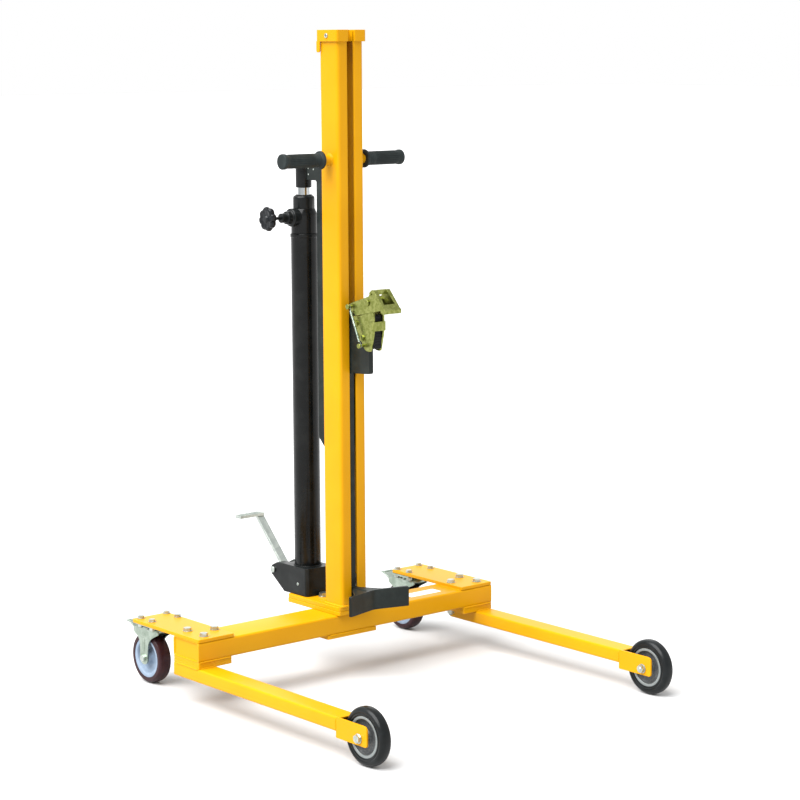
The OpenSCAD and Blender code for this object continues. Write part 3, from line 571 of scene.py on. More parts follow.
beam_section = rectangle(beam_low[1], beam_high[1], beam_under, beam_high[2], 6.0)
beam_shells = [beam_end_rings(beam_section, (beam_low[0], beam_high[0]), 2.2)]
spacers = [plate(rectangle(spacer_x, beam_high[0] - 0.5, 0.5, beam_high[1] - 0.5, 2.0), beam_low[2]
                 + 0.05, beam_under + 1, "z")]
for y in (beam_low[1] + 1.2, beam_high[1] - 1.2):
    spacers.append(bead([(spacer_x + 2, y, beam_under - 0.6),
                         (beam_high[0] - 3, y, beam_under - 0.6)], 2.4))
spacers.append(bead([(spacer_x - 0.6, 4, beam_under - 0.4),
                     (spacer_x - 0.6, beam_high[1] - 4, beam_under - 0.4)], 2.4))
piece("crossbeam_tube", *PAINTED, beam_shells, ["crossbeam"])
piece("beam_spacers", *PAINTED, spacers + mirrored(spacers), bevel=0.8)

clamp_low, clamp_high = span("clamp_plate")
clamp = [plate(rectangle(clamp_low[0], clamp_high[0], clamp_low[1] + 0.3, clamp_high[1] - 0.3, 3.0),
               clamp_low[2], clamp_high[2], "z")]
clamp += [bead([(-66, y, clamp_high[2] - 0.6), (66, y, clamp_high[2] - 0.6)], 2.2)
          for y in (0.8, clamp_high[1] - 0.8)]
piece("clamp_plate_welded", *PAINTED, clamp, ["clamp_plate"], bevel=1.0)

# %% [markdown]
# ## Each leg is an open tube. At its
# front end two ears are welded to the sides and carry the
# wheel's bolt. The leg's section is swept as a cup: down the outside, round the open
# lip and back up the inside, so the tube has a real wall that shows at its mouth.

# %% Legs
tyre_low, tyre_high = span("tyre_right")
axle_y, axle_z = (tyre_low[1] + tyre_high[1]) / 2, (tyre_low[2] + tyre_high[2]) / 2
leg_x0, leg_x1 = beam_high[0] - 50, beam_high[0]
leg_under, leg_top = 60.0, 91.0
leg_front = -492.0
EAR, LEG_WALL, EAR_DROP, EAR_NOSE = 5.0, 3, 13, 25


def leg_shells():
    """Tube, top plate and two ears of the +X leg."""
    outer = rectangle(leg_x0, leg_x1, leg_under, leg_top, 5.0)
    inner = rectangle(leg_x0 + LEG_WALL, leg_x1 - LEG_WALL, leg_under + LEG_WALL,
                      leg_top - LEG_WALL, 3.0)
    shells = [open_tube(outer, inner, leg_front, beam_high[1] - 0.3, "y", 3.0)]
    shells.append(plate(rectangle(spacer_x + 0.3, leg_x1 - 0.3, 0.3, beam_high[1] - 0.6, 2.0),
                        leg_top - 0.5, leg_high[2], "z"))
    outline = rounded([(leg_front + 9, leg_under - EAR_DROP), (leg_front + 9, leg_top),
                       (axle_y - EAR_NOSE, leg_top),
                       (axle_y - EAR_NOSE, leg_under - EAR_DROP)], [4, 4, 12, 7], 8)
    for x in (leg_x0, leg_x1 - EAR):
        shells.append(plate(outline, x + 0.1, x + EAR - 0.1, "x"))
    return shells


def leg_welds():
    """Beads between the ears and the tube, and between the top plate and the tube."""
    welds = []
    for x in (leg_x0 + 0.4, leg_x1 - 0.4):
        welds.append(bead([(x, leg_front + 9.4, leg_under + 2), (x, leg_front + 9.4, leg_top - 3)],
                          2.0, (1, 0, 0)))
    for x, y0, y1 in ((leg_x0 - 0.5, 5, 90), (leg_x1 - 0.7, 5, 90)):
        welds.append(bead([(x, y0, leg_top - 0.8), (x, y1, leg_top - 0.8)], 2.0))
    welds.append(bead([(leg_x0 + 5, 0.6, leg_top + 0.5), (leg_x1 - 5, 0.6, leg_top + 0.5)], 2.2))
    return welds


for side, turn_over in SIDES:
    piece(f"leg_tube_{side}", *PAINTED, turn_over(leg_shells()), [f"leg_{side}"], bevel=0.9)
    piece(f"leg_welds_{side}", *PAINTED, turn_over(leg_welds()))

# %% Mount plates and foot plates
for side in ("left", "right"):
    low, high = span(f"caster_mount_{side}")
    outline = rectangle(low[0], high[0], low[1], high[1], 5.0)
    welds = [bead([(x, 6, low[2] - 0.2), (x, beam_high[1] - 4, low[2] - 0.2)], 1.6)
             for x in ((low[0] + high[0]) / 2 - np.sign(low[0]) * 48.5,)]
    piece(f"mount_plate_{side}", *PAINTED, [plate(outline, low[2], high[2], "z")],
          [f"caster_mount_{side}"], bevel=1.3)
    piece(f"mount_weld_{side}", *PAINTED, welds)

foot_top = span("foot_plate_upper")[1][2]
for name, grow in (("foot_plate_lower", 0.0), ("foot_plate_upper", 0.6)):
    low, high = span(name)
    outline = rectangle(low[0] + grow, high[0] - grow, low[1] + grow, high[1] - grow, 6.0)
    piece(name.replace("foot_plate", "footing"), *PAINTED,
          [plate(outline, low[2], high[2], "z")], [name], bevel=1.3)

# %% [markdown]
# ## Fasteners of the base
# The same head, washer and nut are set at every bolt. Their places are the centres of the
# CAD's own bolts: the beam bolts, the castor pattern, the single foot bolt and the two axles.

# %% Base bolts
mount_top = span("caster_mount_right")[1][2]
beam_bolts = [(leg_x1 - 30, beam_high[1] - 13), (leg_x1 - 30, 22),
              (spacer_x + 7, beam_high[1] * 0.57)]
bolts = []
for x, y in beam_bolts:
    bolts += bolt_head((x, y, mount_top), "+z", 10)
    if x < leg_x0:
        bolts += nut((x, y, leg_top), "-z", 10, 3.0)
bolts += mirrored(bolts)
foot_bolt_y = span("pump_base")[0][1] - 14.5
bolts += bolt_head((0, foot_bolt_y, foot_top), "+z", 12)
bolts.append(stand(thread(12, 6.0, 1.75), (0, foot_bolt_y, span("foot_plate_lower")[0][2] + 2),
                   "-z"))
piece("beam_bolts", *PLATED, bolts, ["base_bolts"])

swivel_x, swivel_y = leg_x1 - 53, 230.0
PATTERN = [(x, y) for x in (-35, 35) for y in (-22.5, 22.5)]
bolts = []
for x, y in PATTERN:
    bolts += bolt_head((swivel_x + x, swivel_y + y, mount_top), "+z", 8)
    bolts += nut((swivel_x + x, swivel_y + y, mount_top - 12), "-z", 8, 1.8)
piece("castor_bolts", *PLATED, bolts + mirrored(bolts), ["caster_bolts"])

bolts = bolt_head((leg_x1, axle_y, axle_z), "+x", 10)
bolts += nut((leg_x0, axle_y, axle_z), "-x", 10, 0.6)
bolts.append(stand(disc(5, 0, leg_x1 - leg_x0, 0.3, steps=40), (leg_x0, axle_y, axle_z), "+x"))
piece("axle_bolts", *PLATED, bolts + mirrored(bolts), ["front_axles"])

# %% [markdown]
# ## The mast
# The mast is two rolled channels that face each other with a gap for the lift plate. A channel
# is one outline carried straight up, so all the care goes into the outline: wide soft corners
# outside, tight ones inside, and small ones on the two lips beside the slot.

# %% Mast channels
mast_low, mast_high = span("mast_right")
SLOT_HALF, MAST_WALL = mast_low[0], 5.0


def channel_outline():
    """The C section of the +X channel, corner by corner, each with its own radius."""
    x0, x1, y0, y1, w = SLOT_HALF, mast_high[0], mast_low[1], mast_high[1], MAST_WALL
    corners = [(x0, y0), (x1, y0), (x1, y1), (x0, y1),
               (x0, y1 - w), (x1 - w, y1 - w), (x1 - w, y0 + w), (x0, y0 + w)]
    return rounded(corners, [1.6, 9, 9, 1.6, 1.6, 4, 4, 1.6], 8)


def foot_weld(size):
    """The bead round the channel's outside where it stands on the foot plate."""
    x1, y0, y1 = mast_high[0], mast_low[1], mast_high[1]
    corners = [(SLOT_HALF, y0 - 0.6), (x1 + 0.6, y0 - 0.6), (x1 + 0.6, y1 + 0.6),
               (SLOT_HALF, y1 + 0.6)]
    line = rounded(corners, 9, 8, closed=False)
    return bead(np.column_stack([line, np.full(len(line), mast_low[2] + 1.0)]), size)


for side, turn_over in SIDES:
    channel = [plate(channel_outline(), mast_low[2], mast_high[2], "z")]
    piece(f"mast_channel_{side}", *PAINTED, turn_over(channel), [f"mast_{side}"])
    piece(f"mast_weld_{side}", *PAINTED, turn_over([foot_weld(3.2)]))

# %% Mast cap
cap_low, cap_high = span("mast_cap")
screw_low, screw_high = span("cap_screws")
mast_y = (mast_low[1] + mast_high[1]) / 2
cap_x, cap_y0, cap_y1 = cap_high[0], cap_low[1], cap_high[1]
cap_floor = cap_high[2] - 26
notch = mast_low[1] + 16
cap_outline = rounded([(SLOT_HALF, cap_y0), (cap_x, cap_y0), (cap_x, cap_y1), (-cap_x, cap_y1),
                       (-cap_x, cap_y0), (-SLOT_HALF, cap_y0), (-SLOT_HALF, notch),
                       (SLOT_HALF, notch)],
                      [1, 6, 6, 6, 6, 1, 1, 1])
tab = rounded([(mast_high[1] - 8, cap_floor - 24), (mast_high[1] + 4, cap_floor - 24),
               (mast_high[1] + 4, cap_floor + 1),
               (mast_high[1] - 8, cap_floor + 1)], [5, 5, 1, 1])
piece("mast_cap_welded", *PAINTED,
      [plate(cap_outline, cap_floor, cap_high[2], "z"), plate(tab, -cap_x, -cap_x + 3, "x")],
      ["mast_cap"], bevel=2.2, segments=4)


def socket_screw(radius, height, key, centre, way):
    """A low round head with a hexagonal socket: rings run up the dome and down into the key."""
    a, side = hexagon(2 * key)
    dome = [(radius, 0), (radius, 0.35 * height), (0.93 * radius, 0.8 * height),
            (0.78 * radius, height)]
    rings = [np.stack([r * np.cos(a), r * np.sin(a), 0 * a + h], -1) for r, h in dome]
    rings += [np.stack([side * k * np.cos(a), side * k * np.sin(a), 0 * a + h], -1)
              for k, h in ((1.06, height), (1.0, 0.95 * height), (0.98, 0.3 * height))]
    return stand(loft(rings), centre, way)


screw_z = (screw_low[2] + screw_high[2]) / 2
screws = [socket_screw(5.5, 2.5, 2.5, (cap_x, mast_y, screw_z), "+x")]
piece("cap_screw_heads", *PLATED, screws + mirrored(screws), ["cap_screws"])

# %% [markdown]
# ## Handles
# The bars are welded to the mast and carry push-on rubber grips. A grip is a turned shape
# whose radius also waves round it: shallow grooves along the palm, three rings by the thumb,
# and a plain flange that keeps the hand off the mast.

# %% Handle bars and grips
grip_low, grip_high = span("grip_right")
bar_low, bar_high = span("handle_bars")
bar_y, bar_z = (bar_low[1] + bar_high[1]) / 2, (bar_low[2] + bar_high[2]) / 2
MAST_SIDE = mast_high[0]
flare = [(0, 0), (15.0, 0), (13.6, 1.0), (12.3, 2.2), (11.4, 3.8), (11.0, 5.6),
         (11.0, bar_high[0] - MAST_SIDE - 1),
         (10.2, bar_high[0] - MAST_SIDE), (0, bar_high[0] - MAST_SIDE)]
handle = [stand(turned(flare), (MAST_SIDE, bar_y, bar_z), "+x")]
ring_path = np.column_stack([np.full(97, MAST_SIDE + 1.2), circle(12.6, 97)[:, 0] + bar_y,
                             circle(12.6, 97)[:, 1] + bar_z])
handle.append(bead(ring_path, 1.6, (1, 0, 0)))
piece("handle_bars_welded", *PAINTED, handle + mirrored(handle), ["handle_bars"])


def grip_shell(length):
    """Radius r(h) (1 + wave): 24 grooves of 0.4 mm over the palm, faded in and out along h."""
    profile = rounded([(11.2, 0), (21, 0), (21, 7), (16.2, 7.6), (15.5, 12), (15.5, length - 13),
                       (17.4, length - 9), (17.4, length), (0.01, length)],
                      [0, 2.5, 2.5, 2, 1.5, 2.5, 2.5, 2.5, 0], 5, closed=False)
    length_along = np.linspace(0, 1, 150)
    run = np.concatenate([[0], np.cumsum(np.linalg.norm(np.diff(profile, axis=0), axis=1))])
    r, h = (np.interp(length_along * run[-1], run, profile[:, k]) for k in (0, 1))
    a = np.arange(144) * TURN / 144
    palm = np.clip(np.minimum((h - 27) / 3, (length - 16 - h) / 3), 0, 1)[:, None]
    thumb = np.where((h > 12.5) & (h < 25), 0.45 * np.cos((h - 12.5) / 12.5 * 3 * TURN), 0)[:, None]
    radius = r[:, None] - palm * 0.4 * np.clip(np.cos(24 * a) * 2, -1, 1)[None] + thumb
    return loft(np.stack([radius * np.cos(a), radius * np.sin(a), h[:, None] + 0 * a], -1))


for side, turn_over in SIDES:
    grip = stand(grip_shell(grip_high[0] - grip_low[0]), (grip_low[0], bar_y, bar_z), "+x")
    piece(f"hand_grip_{side}", "frame", "grip", grip_rubber, turn_over([grip]), [f"grip_{side}"])

# %% [markdown]
# ## The hydraulic jack
# The jack is a long tube that sits in a base block, with a head that carries the release
# valve and a screwed gland round the rod. These are lathe work, so each is a list of radii
# and heights with its shoulders rounded. The block is a milled casting with real pockets:
# its CAD mesh is copied, its doubles are merged, its edges get a Bevel modifier and its
# shading leans to the widest faces, so that a flat made of several faces looks flat.

# %% Cylinder, head and gland
tube_low, tube_high = span("cylinder_tube")
axis_y = (tube_low[1] + tube_high[1]) / 2
block_low, block_high = span("pump_base")
head_high = span("cylinder_head")[1]
gland_low, gland_high = span("gland_nut")
AXIS = (0, axis_y, 0)
jack = [(27, tube_low[2]), (31, tube_low[2]), (31, tube_high[2] - 9), (31.3, tube_high[2] - 8.4),
        (32.5, tube_high[2] - 7.6), (32.5, tube_high[2] - 1), (31.8, tube_high[2]),
        (27, tube_high[2])]
tube = [stand(turned(rounded(jack, 0.5, 3), 128, wrap=True), AXIS, "+z")]
collar = circle(32.0, 161)
collar = np.column_stack([collar[:, 0], collar[:, 1] + axis_y, np.full(161, block_high[2] + 0.6)])
tube.append(bead(np.concatenate([collar, collar[:1]]), 1.9))
piece("jack_tube", "frame", "black_paint", jack_paint, tube, ["cylinder_tube"])

head_r, cone_r = 30.0, 25.0
cap_z, cone_z = head_high[2] - 12, head_high[2]
head = [(14.3, tube_high[2] - 18), (27, tube_high[2] - 18), (27, tube_high[2] + 0.2),
        (head_r, tube_high[2] + 0.2),
        (head_r, cap_z), (cone_r + 0.4, cone_z), (14.3, cone_z)]
piece("jack_head", "frame", "black_paint", jack_paint,
      [stand(turned(rounded(head, [0, 0, 0, 1.2, 2.5, 1.5, 0], 5), 128, wrap=True), AXIS, "+z")],
      ["cylinder_head"])


def gland_shell():
    """A round nut whose skirt has six spanner flats: radius is the lesser of the circle and
    flat / cos of the angle from the nearest flat, and the circle alone above the flats."""
    a = np.arange(144) * TURN / 144
    profile = rounded([(14.1, gland_low[2] + 0.1), (25, gland_low[2] + 0.1),
                       (25, gland_high[2] - 4),
                       (21.5, gland_high[2]), (14.1, gland_high[2])], [0, 1, 3, 3, 0], 6)
    flat = 23.6 / np.cos((a + TURN / 12) % (TURN / 6) - TURN / 12)
    low = (profile[:, 1] < gland_low[2] + 13)[:, None]
    radius = np.where(low, np.minimum(profile[:, :1], np.maximum(flat[None], 14.1)), profile[:, :1])
    radius = np.where(profile[:, :1] < 15, profile[:, :1], radius)
    return loft(np.stack([radius * np.cos(a), radius * np.sin(a), profile[:, 1:] + 0 * a], -1),
                wrap=True)


piece("gland_nut_turned", *JET, [stand(gland_shell(), AXIS, "+z")], ["gland_nut"])
wiper = stand(disc(19.5, gland_high[2] - 1, gland_high[2] + 1.6, 0.7, hole=14.08), AXIS, "+z")
piece("rod_wiper", "frame", "rubber", pad_rubber, [wiper])

# %% Release valve
valve_low, valve_high = span("valve_body")
valve_z = (valve_low[2] + valve_high[2]) / 2
VALVE = (0, axis_y, valve_z)
body = rounded([(0, 8), (21, 8), (21, 40), (15, 42.5), (15, 53), (11, 54.5), (11, -valve_low[0]),
                (3.7, -valve_low[0]),
                (3.7, 45), (0, 45)], [0, 0, 2, 2, 1.5, 1, 1.5, 0.5, 0, 0], 5)
hexed = stand(shifted(hex_prism(28, 7.0, True), 44), VALVE, "-x")
piece("valve_collars", *JET, [stand(turned(body, 72), VALVE, "-x"), hexed], ["valve_body"])
knob_face = -span("release_knob")[1][0]
stem = [(0, 38), (3.5, 38), (3.5, knob_face - 1), (0, knob_face - 1)]
hub = rounded([(0, knob_face - 12), (8.5, knob_face - 12), (9.5, knob_face + 1),
               (0, knob_face + 1)],
              [0, 2, 1, 0], 5)
piece("release_stem_turned", "release", "black_paint", black_paint,
      [stand(turned(stem, 40), VALVE, "-x")], ["release_stem"])


def knob_shell(radius, thick):
    """Eight lobes: radius less a scallop |sin 4a| to the power 0.7; the rim is a half round and
    the face dishes in towards a raised boss."""
    a = np.arange(160) * TURN / 160
    lobe = radius - 0.17 * radius * (1 - np.abs(np.sin(4 * a + TURN / 8)) ** 0.7)
    rings = []
    for share, height in ((0.30, 0.0), (0.62, 0.0), (0.90, 0.10), (0.98, 0.28), (1.0, 0.5),
                          (0.98, 0.72),
                          (0.90, 0.92), (0.76, 1.0), (0.60, 0.90), (0.42, 0.84), (0.32, 0.86),
                          (0.28, 1.02),
                          (0.22, 1.10), (0.001, 1.12)):
        r = share * (lobe if share > 0.5 else np.full_like(a, radius * 0.98))
        rings.append(np.stack([r * np.cos(a), r * np.sin(a), 0 * a + height * thick], -1))
    return loft(rings)


knob = stand(shifted(knob_shell(28.4, 15.0), knob_face), VALVE, "-x")
piece("knob_lobed", "release", "knob", resin, [knob, stand(turned(hub, 48), VALVE, "-x")],
      ["release_knob"])

# %% Base block
def softened_copy(name, node, body, slot, finish, bevel):
    """A CAD node's mesh, copied and merged into clean flats, with its edges bevelled."""
    work = bmesh.new()
    work.from_mesh(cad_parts[node].data)
    bmesh.ops.remove_doubles(work, verts=work.verts, dist=2e-5)
    bmesh.ops.dissolve_limit(work, angle_limit=0.01, verts=work.verts, edges=work.edges)
    mesh = bpy.data.meshes.new(name)
    work.to_mesh(mesh)
    work.free()
    mesh.shade_smooth()
    mesh.materials.append(finish)
    copy = bpy.data.objects.new(name, mesh)
    bpy.context.scene.collection.objects.link(copy)
    soften(copy, bevel, 3, flatten=True)
    made[name] = len(mesh.polygons)
    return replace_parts(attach(copy, body), node)


softened_copy("jack_base_block", "pump_base", *JET, 1.6)
pin_low, pin_high = span("pedal_pin")
pin_y, pin_z = (pin_low[1] + pin_high[1]) / 2, (pin_low[2] + pin_high[2]) / 2
pin = [stand(disc(5, pin_low[0] + 2, pin_high[0] - 2, 0.4, steps=40), (0, pin_y, pin_z), "+x")]
pin += [stand(disc(7.5, 0, 4, 1.0, steps=40), (x, pin_y, pin_z), way) for x,
        way in ((block_high[0] + 0.1, "+x"), (block_low[0] - 0.1, "-x"))]
piece("pedal_pin_turned", *PLATED, pin, ["pedal_pin"])
grub = [socket_screw(3.9, 2.0, 1.9, (block_low[0] + 2, axis_y - 8, block_low[2] + 26), "-x")]
piece("bleed_screw", *PLATED, grub)

# %% [markdown]
# ## Pedal and plunger
# The pedal is flat bar with its end bent and a foot rest welded across it. The rest has raised
# ribs so that a boot holds. Its arm is one outline in side view, worked out from the pivot's
# and the rest's places, with softened bends.

# %% Pedal
pedal_low, pedal_high = span("pedal_lever")
ARM, TREAD_DEEP = 8.0, 24.0
rest_top, rest_y1 = pedal_high[2], pedal_high[1]
rest_mid = rest_y1 - TREAD_DEEP / 2
slope = np.array([rest_mid - pin_y, rest_top - ARM / 2 - pin_z])
across = np.array([-slope[1], slope[0]]) / np.linalg.norm(slope) * ARM / 2
start, end = np.array([pin_y, pin_z]), np.array([rest_mid, rest_top - ARM / 2])
arm = np.array([start + across, start - across, end - across * 0.9, end + across * 0.9])
pedal = [plate(arm, -10, 10, "x"), stand(disc(12, -11, 11, 1.0, hole=5.06), (0, pin_y, pin_z),
                                         "+x")]
pedal.append(plate(rounded([(pin_y - 22, pin_z - 3.9), (pin_y - 8, pin_z - 3.9),
                            (pin_y - 8, pin_z + 8), (pin_y - 19, pin_z + 8)], 2), -10, 10, "x"))
rest = rectangle(pedal_low[0], pedal_high[0], rest_y1 - TREAD_DEEP, rest_y1, 4.0)
pedal.append(plate(rest, rest_top - ARM, rest_top - 1.2, "z"))
pedal += [plate(rectangle(x, x + 3.2, rest_y1 - TREAD_DEEP + 3, rest_y1 - 3, 1.4), rest_top - 1.5,
                rest_top, "z")
          for x in np.arange(pedal_low[0] + 5, pedal_high[0] - 5, 8.0)]
piece("pedal_welded", "pedal", "zinc", zinc, pedal, ["pedal_lever"], bevel=0.7)
weld_z = rest_top - ARM - 0.6
piece("pedal_weld", "pedal", "zinc", fork_zinc,
      [bead([(-9, rest_mid - 7.2, weld_z), (9, rest_mid - 7.2, weld_z)], 1.8),
                                                 bead([(-9, rest_mid + 5.2, weld_z),
                                                       (9, rest_mid + 5.2, weld_z)], 1.8)])
plunger_low, plunger_high = span("pump_plunger")
piece("plunger_turned", "plunger", "zinc", chrome,
      [stand(disc(7, plunger_low[2], plunger_high[2], 1.2, steps=56),
             (0, (plunger_low[1] + plunger_high[1]) / 2, 0), "+z")],
      ["pump_plunger"])

# %% [markdown]
# ## The lift
# One thick plate runs in both slots of the mast. Behind the mast it is a tall bar that reaches
# over to the rod's head, in front it carries the V cradle and the gripper. Its outline is read
# off in side view: pairs of y and z, with every corner eased.

# %% Lift plate and rod
lift_low, lift_high = span("lift_plate")
pins_low, pins_high = span("gripper_pins")
PIVOT_Y, PIVOT_Z = pins_low[1] + 7.0, pins_high[2] - 7.0
cradle_low, cradle_high = span("drum_cradle")
mast_front, mast_back = mast_low[1], mast_high[1]
strip, bar_foot, arm_under, bar_back = PIVOT_Z - 22, 549.0, lift_high[2] - 36, axis_y - 55
bracket = span("gripper_pad")[1][1]
lift_outline = rounded([
    (mast_front + 4, lift_low[2]), (mast_front + 4, lift_low[2] + 4), (-70, lift_low[2] + 4),
    (-70, lift_low[2] + 42),
    (mast_front + 4, lift_low[2] + 42), (mast_front + 4, PIVOT_Z - 168), (bracket, PIVOT_Z - 164),
    (bracket, PIVOT_Z - 30), (mast_front + 4, PIVOT_Z - 30), (mast_front + 4, strip),
    (mast_back + 15, strip),
    (mast_back + 15, lift_high[2]), (axis_y, lift_high[2]), (axis_y, arm_under),
    (bar_back, arm_under),
    (bar_back, bar_foot), (bar_back - 20, bar_foot - 20), (mast_y + 8, bar_foot - 20),
    (mast_y + 8, lift_low[2])],
    [1, 1, 1, 1, 1, 2, 5, 5, 2, 3, 3, 6, 1, 1, 5, 5, 5, 3, 3], 5)
piece("lift_plate_cut", *CARRIAGE, [plate(lift_outline, -6, 6, "x")], ["lift_plate"], bevel=0.8)

head_z0, head_z1 = (corner[2] for corner in span("rod_head"))
rod_top = rounded([(14.1, head_z0), (18.5, head_z0), (18.5, head_z1), (0, head_z1)],
                  [0.5, 1.6, 3, 0], 5)
socket = stand(turned(np.concatenate([rod_top, [(0, head_z0 + 20), (14.1, head_z0 + 20)]]), 96),
               AXIS, "+z")
arm_welds = [bead([(x, axis_y - 17.6, arm_under + 1), (x, axis_y - 17.6, lift_high[2] - 1)], 2.2,
                  (0, 1, 0)) for x in (-6.2, 6.2)]
piece("rod_head_turned", "lift", "black_paint", jack_paint, [socket] + arm_welds, ["rod_head"])
rod_z0, rod_z1 = (corner[2] for corner in span("piston_rod"))
# The rod's chrome has painted reflection: dark and bright lengthwise bands in its base colour.
piece("piston_rod_polished", "lift", "chrome", chrome,
      [stand(disc(14, rod_z0, rod_z1, 0.8, steps=128), AXIS, "+z")], ["piston_rod"])
piston_z0, piston_z1 = (corner[2] for corner in span("piston"))
lands = [(14.05, piston_z0 + 8), (14.05, piston_z1), (26.9, piston_z1), (26.9, piston_z1 - 7),
         (25, piston_z1 - 7.4),
         (25, piston_z0 + 7.4), (26.9, piston_z0 + 7), (26.9, piston_z0), (0, piston_z0),
         (0, piston_z0 + 8)]
piece("piston_grooved", "lift", "zinc", zinc,
      [stand(turned(rounded(lands, 0.4, 3), 96), AXIS, "+z")], ["piston"])
rivets = [stand(disc(1.7, 0, 0.9, 0.4, steps=24), (-5.9, y, z), "-x")
          for y, z in ((axis_y - 26, lift_high[2] - 9), (axis_y - 45, lift_high[2] - 11),
                       (axis_y - 26, lift_high[2] - 23))]
piece("arm_rivets", "lift", "zinc", zinc, rivets)

# %% Carriage rollers
for name in ("rollers_lower", "rollers_upper"):
    low, high = span(name)
    radius, centre = (high[2] - low[2]) / 2, (0, (low[1] + high[1]) / 2, (low[2] + high[2]) / 2)
    ring = rounded([(5.05, 8), (8.5, 8), (8.5, 9), (radius - 4, 9), (radius - 3.5, 8), (radius, 8),
                    (radius, high[0]),
                    (radius - 3.5, high[0]), (radius - 4, high[0] - 1), (8.5, high[0] - 1),
                    (8.5, high[0]), (5.05, high[0])], 0.5, 3)
    wheel = [stand(turned(ring, 80, wrap=True), centre, "+x")]
    piece(name.replace("rollers", "roller_pair"), name, "zinc", zinc, wheel + mirrored(wheel),
          [name])
axles_low, axles_high = span("roller_axles")
axles = [stand(disc(5, axles_low[0], axles_high[0], 0.8, steps=40), (0, mast_y, z), "+x")
         for z in (axles_low[2] + 5, axles_high[2] - 5)]
piece("roller_axles_turned", "lift", "zinc", zinc, axles, ["roller_axles"])

# %% [markdown]
# ## The V cradle
# The cradle is a strip bent to a shallow V, with the upper outer corners cut off. It is a row
# of upright sections along the bend line: each section is four points, half the thickness to
# either side of the line, and the top edge falls towards the two ends.

# %% Cradle
WING, THICK, CUT = np.radians(15.8), 7.0, 2.5


def cradle_shell(reach, vertex):
    """Sections at equal steps: (x, y) + or - thickness/2 times the normal, from the low edge up
    to the top edge, which falls by CUT over the last CUT millimetres."""
    tip = (reach, vertex - reach * np.tan(WING))
    line = rounded([(-tip[0], tip[1]), (0, vertex), tip], 16, 9, closed=False)
    line = resampled(np.column_stack([line, 0 * line[:, 0]]), 3.0)[:, :2]
    run = np.gradient(line, axis=0)
    length = np.linalg.norm(run, axis=1)[:, None]
    normal = np.column_stack([-run[:, 1], run[:, 0]]) / length * THICK / 2
    from_end = reach - np.abs(line[:, 0])
    top = cradle_high[2] - np.clip(CUT - from_end, 0, CUT)
    corners = [(-1, cradle_low[2] + 0 * top), (1, cradle_low[2] + 0 * top), (1, top), (-1, top)]
    return loft(np.stack([np.column_stack([line + side * normal, z]) for side, z in corners], 1))


vertex = -78 + THICK / 2
gusset = plate(rounded([(5.9, mast_front - 6), (12, mast_front - 6), (60, vertex - 12),
                        (5.9, vertex + 1)], [1, 3, 1, 1]),
               cradle_high[2] - 12, cradle_high[2] - 6, "z")
cradle = [cradle_shell(85.9, vertex), gusset] + mirrored([gusset])
seams = [bead([(6.5, mast_front - 8, cradle_high[2] - 6.2),
               (6.5, vertex + 2, cradle_high[2] - 6.2)], 1.8)]
piece("cradle_bent", *CARRIAGE, cradle, ["drum_cradle"], bevel=0.9)
piece("cradle_welds", *CARRIAGE, seams + mirrored(seams))

# %% [markdown]
# ## The rim gripper
# Two cheeks are bolted to the bracket and hold a rubber pad. Above them the beak turns on a
# pin, and two springs pull its tail down so that its lip bites over the drum's rim. A spring
# is a helix: the point goes round the axis once for every 1.5 mm that it moves along.

# %% Cheeks, pad, strap and bolts
cheek_low, cheek_high = span("cheek_right")
ANCHOR = (PIVOT_Y + 20, PIVOT_Z - 98)
CATCH = (PIVOT_Y + 59, PIVOT_Z - 12.5)
BOLTS = [(PIVOT_Y + 46, PIVOT_Z - 50), (PIVOT_Y + 24, PIVOT_Z - 82)]
turn_back = np.radians(np.linspace(-40, 190, 24))
nose = np.column_stack([PIVOT_Y + 11 * np.cos(turn_back), PIVOT_Z + 11 * np.sin(turn_back)])
low_part = rounded([(PIVOT_Y - 15, PIVOT_Z - 12), (PIVOT_Y - 15, PIVOT_Z - 66),
                    (PIVOT_Y - 4, PIVOT_Z - 111),
                    (ANCHOR[0] - 4, PIVOT_Z - 110), (PIVOT_Y + 56, PIVOT_Z - 46),
                    (PIVOT_Y + 60, PIVOT_Z - 34),
                    (PIVOT_Y + 28, PIVOT_Z - 30)], [3, 8, 6, 9, 7, 6, 9], 6, closed=False)
outline = np.concatenate([nose, low_part])
for side, turn_over in SIDES:
    piece(f"cheek_pressed_{side}", *GILT,
          turn_over([plate(outline, cheek_low[0], cheek_high[0], "x")]), [f"cheek_{side}"],
          bevel=1.1)

pad_low, pad_high = span("gripper_pad")
pad = rectangle(pad_low[1], pad_high[1], pad_low[2], pad_high[2], 3.0)
ribs = [plate(rectangle(pad_low[1], pad_low[1] + 3, z, z + 3.4, 0.8), pad_low[0] + 2,
              pad_high[0] - 2, "x")
        for z in np.arange(pad_low[2] + 5, pad_high[2] - 6, 6.4)]
piece("gripper_pad_moulded", "lift", "rubber", pad_rubber,
      [plate(pad + [1.2, 0] * (pad[:, :1] < pad_low[1] + 5), pad_low[0], pad_high[0], "x")] + ribs,
      ["gripper_pad"], bevel=0.7)
strap_low, strap_high = span("gripper_strap")
sx, sy0, sy1 = strap_high[0], strap_low[1], strap_high[1]
strap = rounded([(-sx, sy1), (-sx, sy0), (sx, sy0), (sx, sy1), (sx - 2.5, sy1), (sx - 2.5, sy0 + 3),
                 (2.5 - sx, sy0 + 3),
                 (2.5 - sx, sy1)], [0.6, 5, 5, 0.6, 0.6, 2.5, 2.5, 0.6], 6)
piece("gripper_strap_bent", *GILT, [plate(strap, strap_low[2], strap_high[2], "z")],
      ["gripper_strap"], bevel=0.7)
rings = [stand(disc(9, 6, cheek_low[0], 0.5, hole=4.3, steps=48), (0, *place), "+x")
         for place in BOLTS]
piece("cheek_spacer_rings", "lift", "zinc", zinc, rings + mirrored(rings), ["cheek_spacers"])
